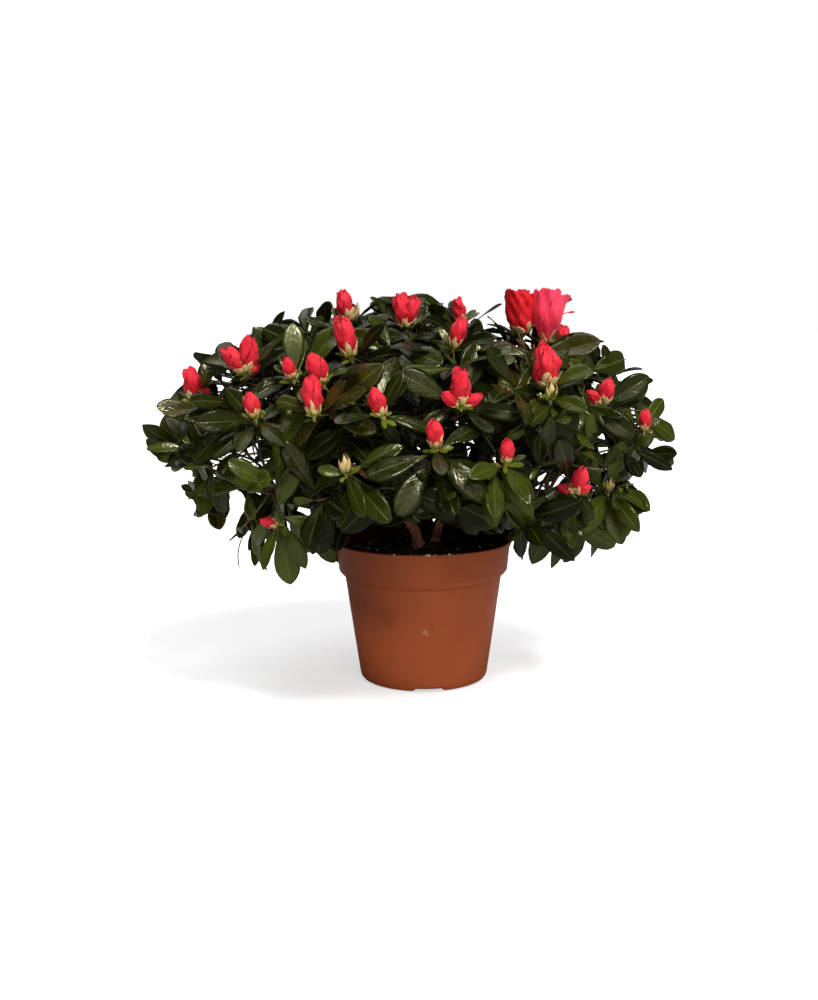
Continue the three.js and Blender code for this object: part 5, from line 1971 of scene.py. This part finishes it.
def place_buds(masses, room):
    buds = []
    for index, mass in enumerate(masses):
        for i, shoot in enumerate(mass["shoots"]):
            draw = seeded(SEED + 4000 + 100 * index + i)
            buds += [place_bud(shoot, *bud, draw, room) for bud in shoot["buds"]]
    return buds


def place_leaves(masses, room):
    leaves = []
    for index, mass in enumerate(masses):
        for i, shoot in enumerate(mass["shoots"]):
            draw = seeded(SEED + 1000 * (index + 1) + i)
            leaves += leaves_of(shoot, draw, mass["holds"], room)
    return leaves


def leaf_groups(leaves):
    """The leaves of each tint with their piece's name and material. A large group makes several pieces."""
    groups = []
    for tint, (color, gloss, _) in TINTS.items():
        some = [leaf for leaf in leaves if leaf["tint"] == tint]
        material = leaf_material(f"leaf_{tint}", color, gloss)
        parts = math.ceil(len(some) / LEAVES_PER_PIECE)
        for part in range(parts):
            name = f"leaves_{tint}_{part + 1}" if parts > 1 else f"leaves_{tint}"
            groups.append((name, material, some[part * LEAVES_PER_PIECE:(part + 1) * LEAVES_PER_PIECE]))
    return groups


def add_leaves(leaves, nodes, tree):
    forms = forms_collection("leaf_forms", [leaf_form(i) for i in range(LEAF_FORMS)])
    under = underside_material()
    for name, material, some in leaf_groups(leaves):
        turns, sizes = [], []
        for leaf in some:
            across = leaf["along"].cross(leaf["upper"])
            turns.append(tuple(Matrix((across, leaf["along"], leaf["upper"])).transposed().to_euler()))
            sizes.append((leaf["width"] * MM, leaf["length"] * MM, leaf["length"] * MM))
        roots, picks = [leaf["root"] for leaf in some], [leaf["form"] for leaf in some]
        mesh = points_mesh(name, roots, turns, sizes, picks)
        finish_foliage(grown(name, mesh, tree, {"Forms": forms, "First": material, "Second": under}), nodes)
    clear_collection(forms)


def add_buds(buds, nodes, tree):
    finishes = {name: petal_material(name) for name in PETALS}
    scales = scale_material()
    for kind in BUDS:
        some = [bud for bud in buds if bud["kind"] == kind]
        forms = forms_collection(f"{kind}_forms", [bud_form(kind, i) for i in range(BUD_FORMS)])
        turns = []
        for bud in some:
            lean = Matrix.Rotation(math.radians(bud["lean"]), 3, "Y")
            turns.append(tuple((lean @ Matrix.Rotation(bud["spin"], 3, "Z")).to_euler()))
        sizes = [(bud["size"] * MM,) * 3 for bud in some]
        picks = [i % BUD_FORMS for i in range(len(some))]
        mesh = points_mesh(f"buds_{kind}", [bud["foot"] for bud in some], turns, sizes, picks)
        petals = finishes[PETAL_FINISH.get(kind, "petal_rose")]
        piece = grown(f"buds_{kind}", mesh, tree, {"Forms": forms, "First": petals, "Second": scales})
        finish_foliage(piece, nodes)
        clear_collection(forms)


def finish_foliage(piece, nodes):
    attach(piece, "root")
    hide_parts(*nodes)


# The plant

masses = make_masses()
share_out(make_shoots(), masses)
foliage_nodes = ["foliage_" + mass["name"] for mass in masses]
stem_nodes = ["trunk", "second_stem"] + ["bough_" + mass["name"] for mass in masses]
room = {kind: Space(SPACE_CELL) for kind in ("boughs", "leaves", "sight")}
bough_bodies, old_chains, young_chains = grow_limbs(masses, room["boughs"])
dry_stalk = Bend(*DRY_STALK)
young_chains.append(([dry_stalk.at(i / TWIG_STEPS) for i in range(TWIG_STEPS + 1)], DRY_STALK_RADII))
# buds first, so that leaves keep clear of them
buds = place_buds(masses, room)
leaves = place_leaves(masses, room)

stem_bodies = [make_stem(TRUNK, 11), make_stem(SECOND, 12)] + bough_bodies
stems = object_of("stems_and_boughs", mesh_of("stems_and_boughs", stem_bodies, MM))
stems.data.attributes.remove(stems.data.attributes["second"])
stems.data.materials.append(bark_material())
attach(stems, "root")
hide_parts(*stem_nodes)

tubes = twig_tree()
for age, chains in (("old", old_chains), ("young", young_chains)):
    name, finish = f"twigs_{age}", twig_material(f"twig_{age}")
    piece = grown(name, chains_mesh(name, chains), tubes, {"Sides": TWIG_SIDES, "First": finish})
    finish_foliage(piece, foliage_nodes)
placing = placing_tree()
add_leaves(leaves, foliage_nodes, placing)
add_buds(buds, foliage_nodes, placing)

# The pot and its peat

pot = make_pot()
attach(pot, "root")
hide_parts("pot")
for piece in make_peat(placing) + [make_fibres(tubes)]:
    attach(piece, "root")
    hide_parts("soil")

# Stage, light and camera

# the studio's all-round light, and how bright it shows in gloss
AMBIENT = 0.12
AMBIENT_GLOSS = 0.05
# how much the backdrop's own light lifts the shadow on the floor, as the camera sees it
FLOOR_GLOW = 0.6
# how bright the floor shows in gloss
FLOOR_GLOSS = (0.4, 0.4, 0.4)
# the floor's own brightness, which varies a little
PAPER = [(0.86, 0.86, 0.86), (0.88, 0.88, 0.88)]
# half the floor's side and how far it lies under the pot, in metres
FLOOR_HALF = 30
FLOOR_DROP = 0.0002
# each light's strength, then its spread, its turn about +Z and its rise in degrees
LIGHTS = {
    "key": (3.3, 16, 301, 54),
    "front_fill": (0.58, 36, 288, 25),
    "back_fill": (0.85, 50, 110, 62),
}


def paper_material():
    paint = Paint("floor_paper")
    rays = paint.tree.nodes.new("ShaderNodeLightPath").outputs
    paper = paint.mix(paint.noise(3, 2), *PAPER)
    return paint.set(Base_Color=paint.mix(rays["Is Glossy Ray"], paper, FLOOR_GLOSS), Roughness=0.9,
                     Specular_IOR_Level=0.1, Emission_Color=(1, 1, 1, 1),
                     Emission_Strength=paint.times(rays["Is Camera Ray"], FLOOR_GLOW))


def make_floor():
    mesh = bpy.data.meshes.new("floor")
    sides = [(-1, -1), (1, -1), (1, 1), (-1, 1)]
    mesh.from_pydata([(x * FLOOR_HALF, y * FLOOR_HALF, -FLOOR_DROP) for x, y in sides], [], [(0, 1, 2, 3)])
    mesh.materials.append(paper_material())
    return object_of("floor", mesh)


def light_studio():
    """The plain backdrop: white, and dimmer where it lights the plant."""
    world = bpy.data.worlds.new("studio")
    bpy.context.scene.world = world
    world.use_nodes = True
    tree = world.node_tree
    rays = tree.nodes.new("ShaderNodeLightPath").outputs
    lit = node(tree, "ShaderNodeMapRange", None, Value=rays["Is Glossy Ray"], To_Min=AMBIENT,
               To_Max=AMBIENT_GLOSS)
    seen = node(tree, "ShaderNodeMapRange", None, Value=rays["Is Camera Ray"], To_Min=lit.outputs["Result"],
                To_Max=1)
    background = tree.nodes["Background"].inputs
    background["Color"].default_value = (1, 1, 1, 1)
    tree.links.new(seen.outputs["Result"], background["Strength"])


def add_light(name, strength, spread, turn, rise):
    """A soft light from a turn about +Z and a rise, both in degrees."""
    light = bpy.data.lights.new(name, "SUN")
    light.energy = strength
    light.angle = math.radians(spread)
    rise = math.radians(rise)
    way = Vector(turned(math.cos(rise), math.radians(turn), math.sin(rise)))
    object_of(name, light).rotation_euler = way.to_track_quat("Z", "Y").to_euler()


def add_camera():
    camera = bpy.data.cameras.new("camera")
    camera.sensor_width = SENSOR
    camera.lens = FOCAL_LENGTH * SENSOR / PICTURE_HEIGHT
    camera.clip_start = 0.01
    holder = object_of("camera", camera)
    down, roll = Matrix.Rotation(math.pi / 2 - LOOK_DOWN, 4, "X"), Matrix.Rotation(ROLL, 4, "Z")
    holder.matrix_world = Matrix.Translation(EYE * MM) @ down @ roll
    bpy.context.scene.camera = holder


make_floor()
light_studio()
for name, values in LIGHTS.items():
    add_light(name, *values)
add_camera()
bpy.context.scene.view_settings.view_transform = "Standard"
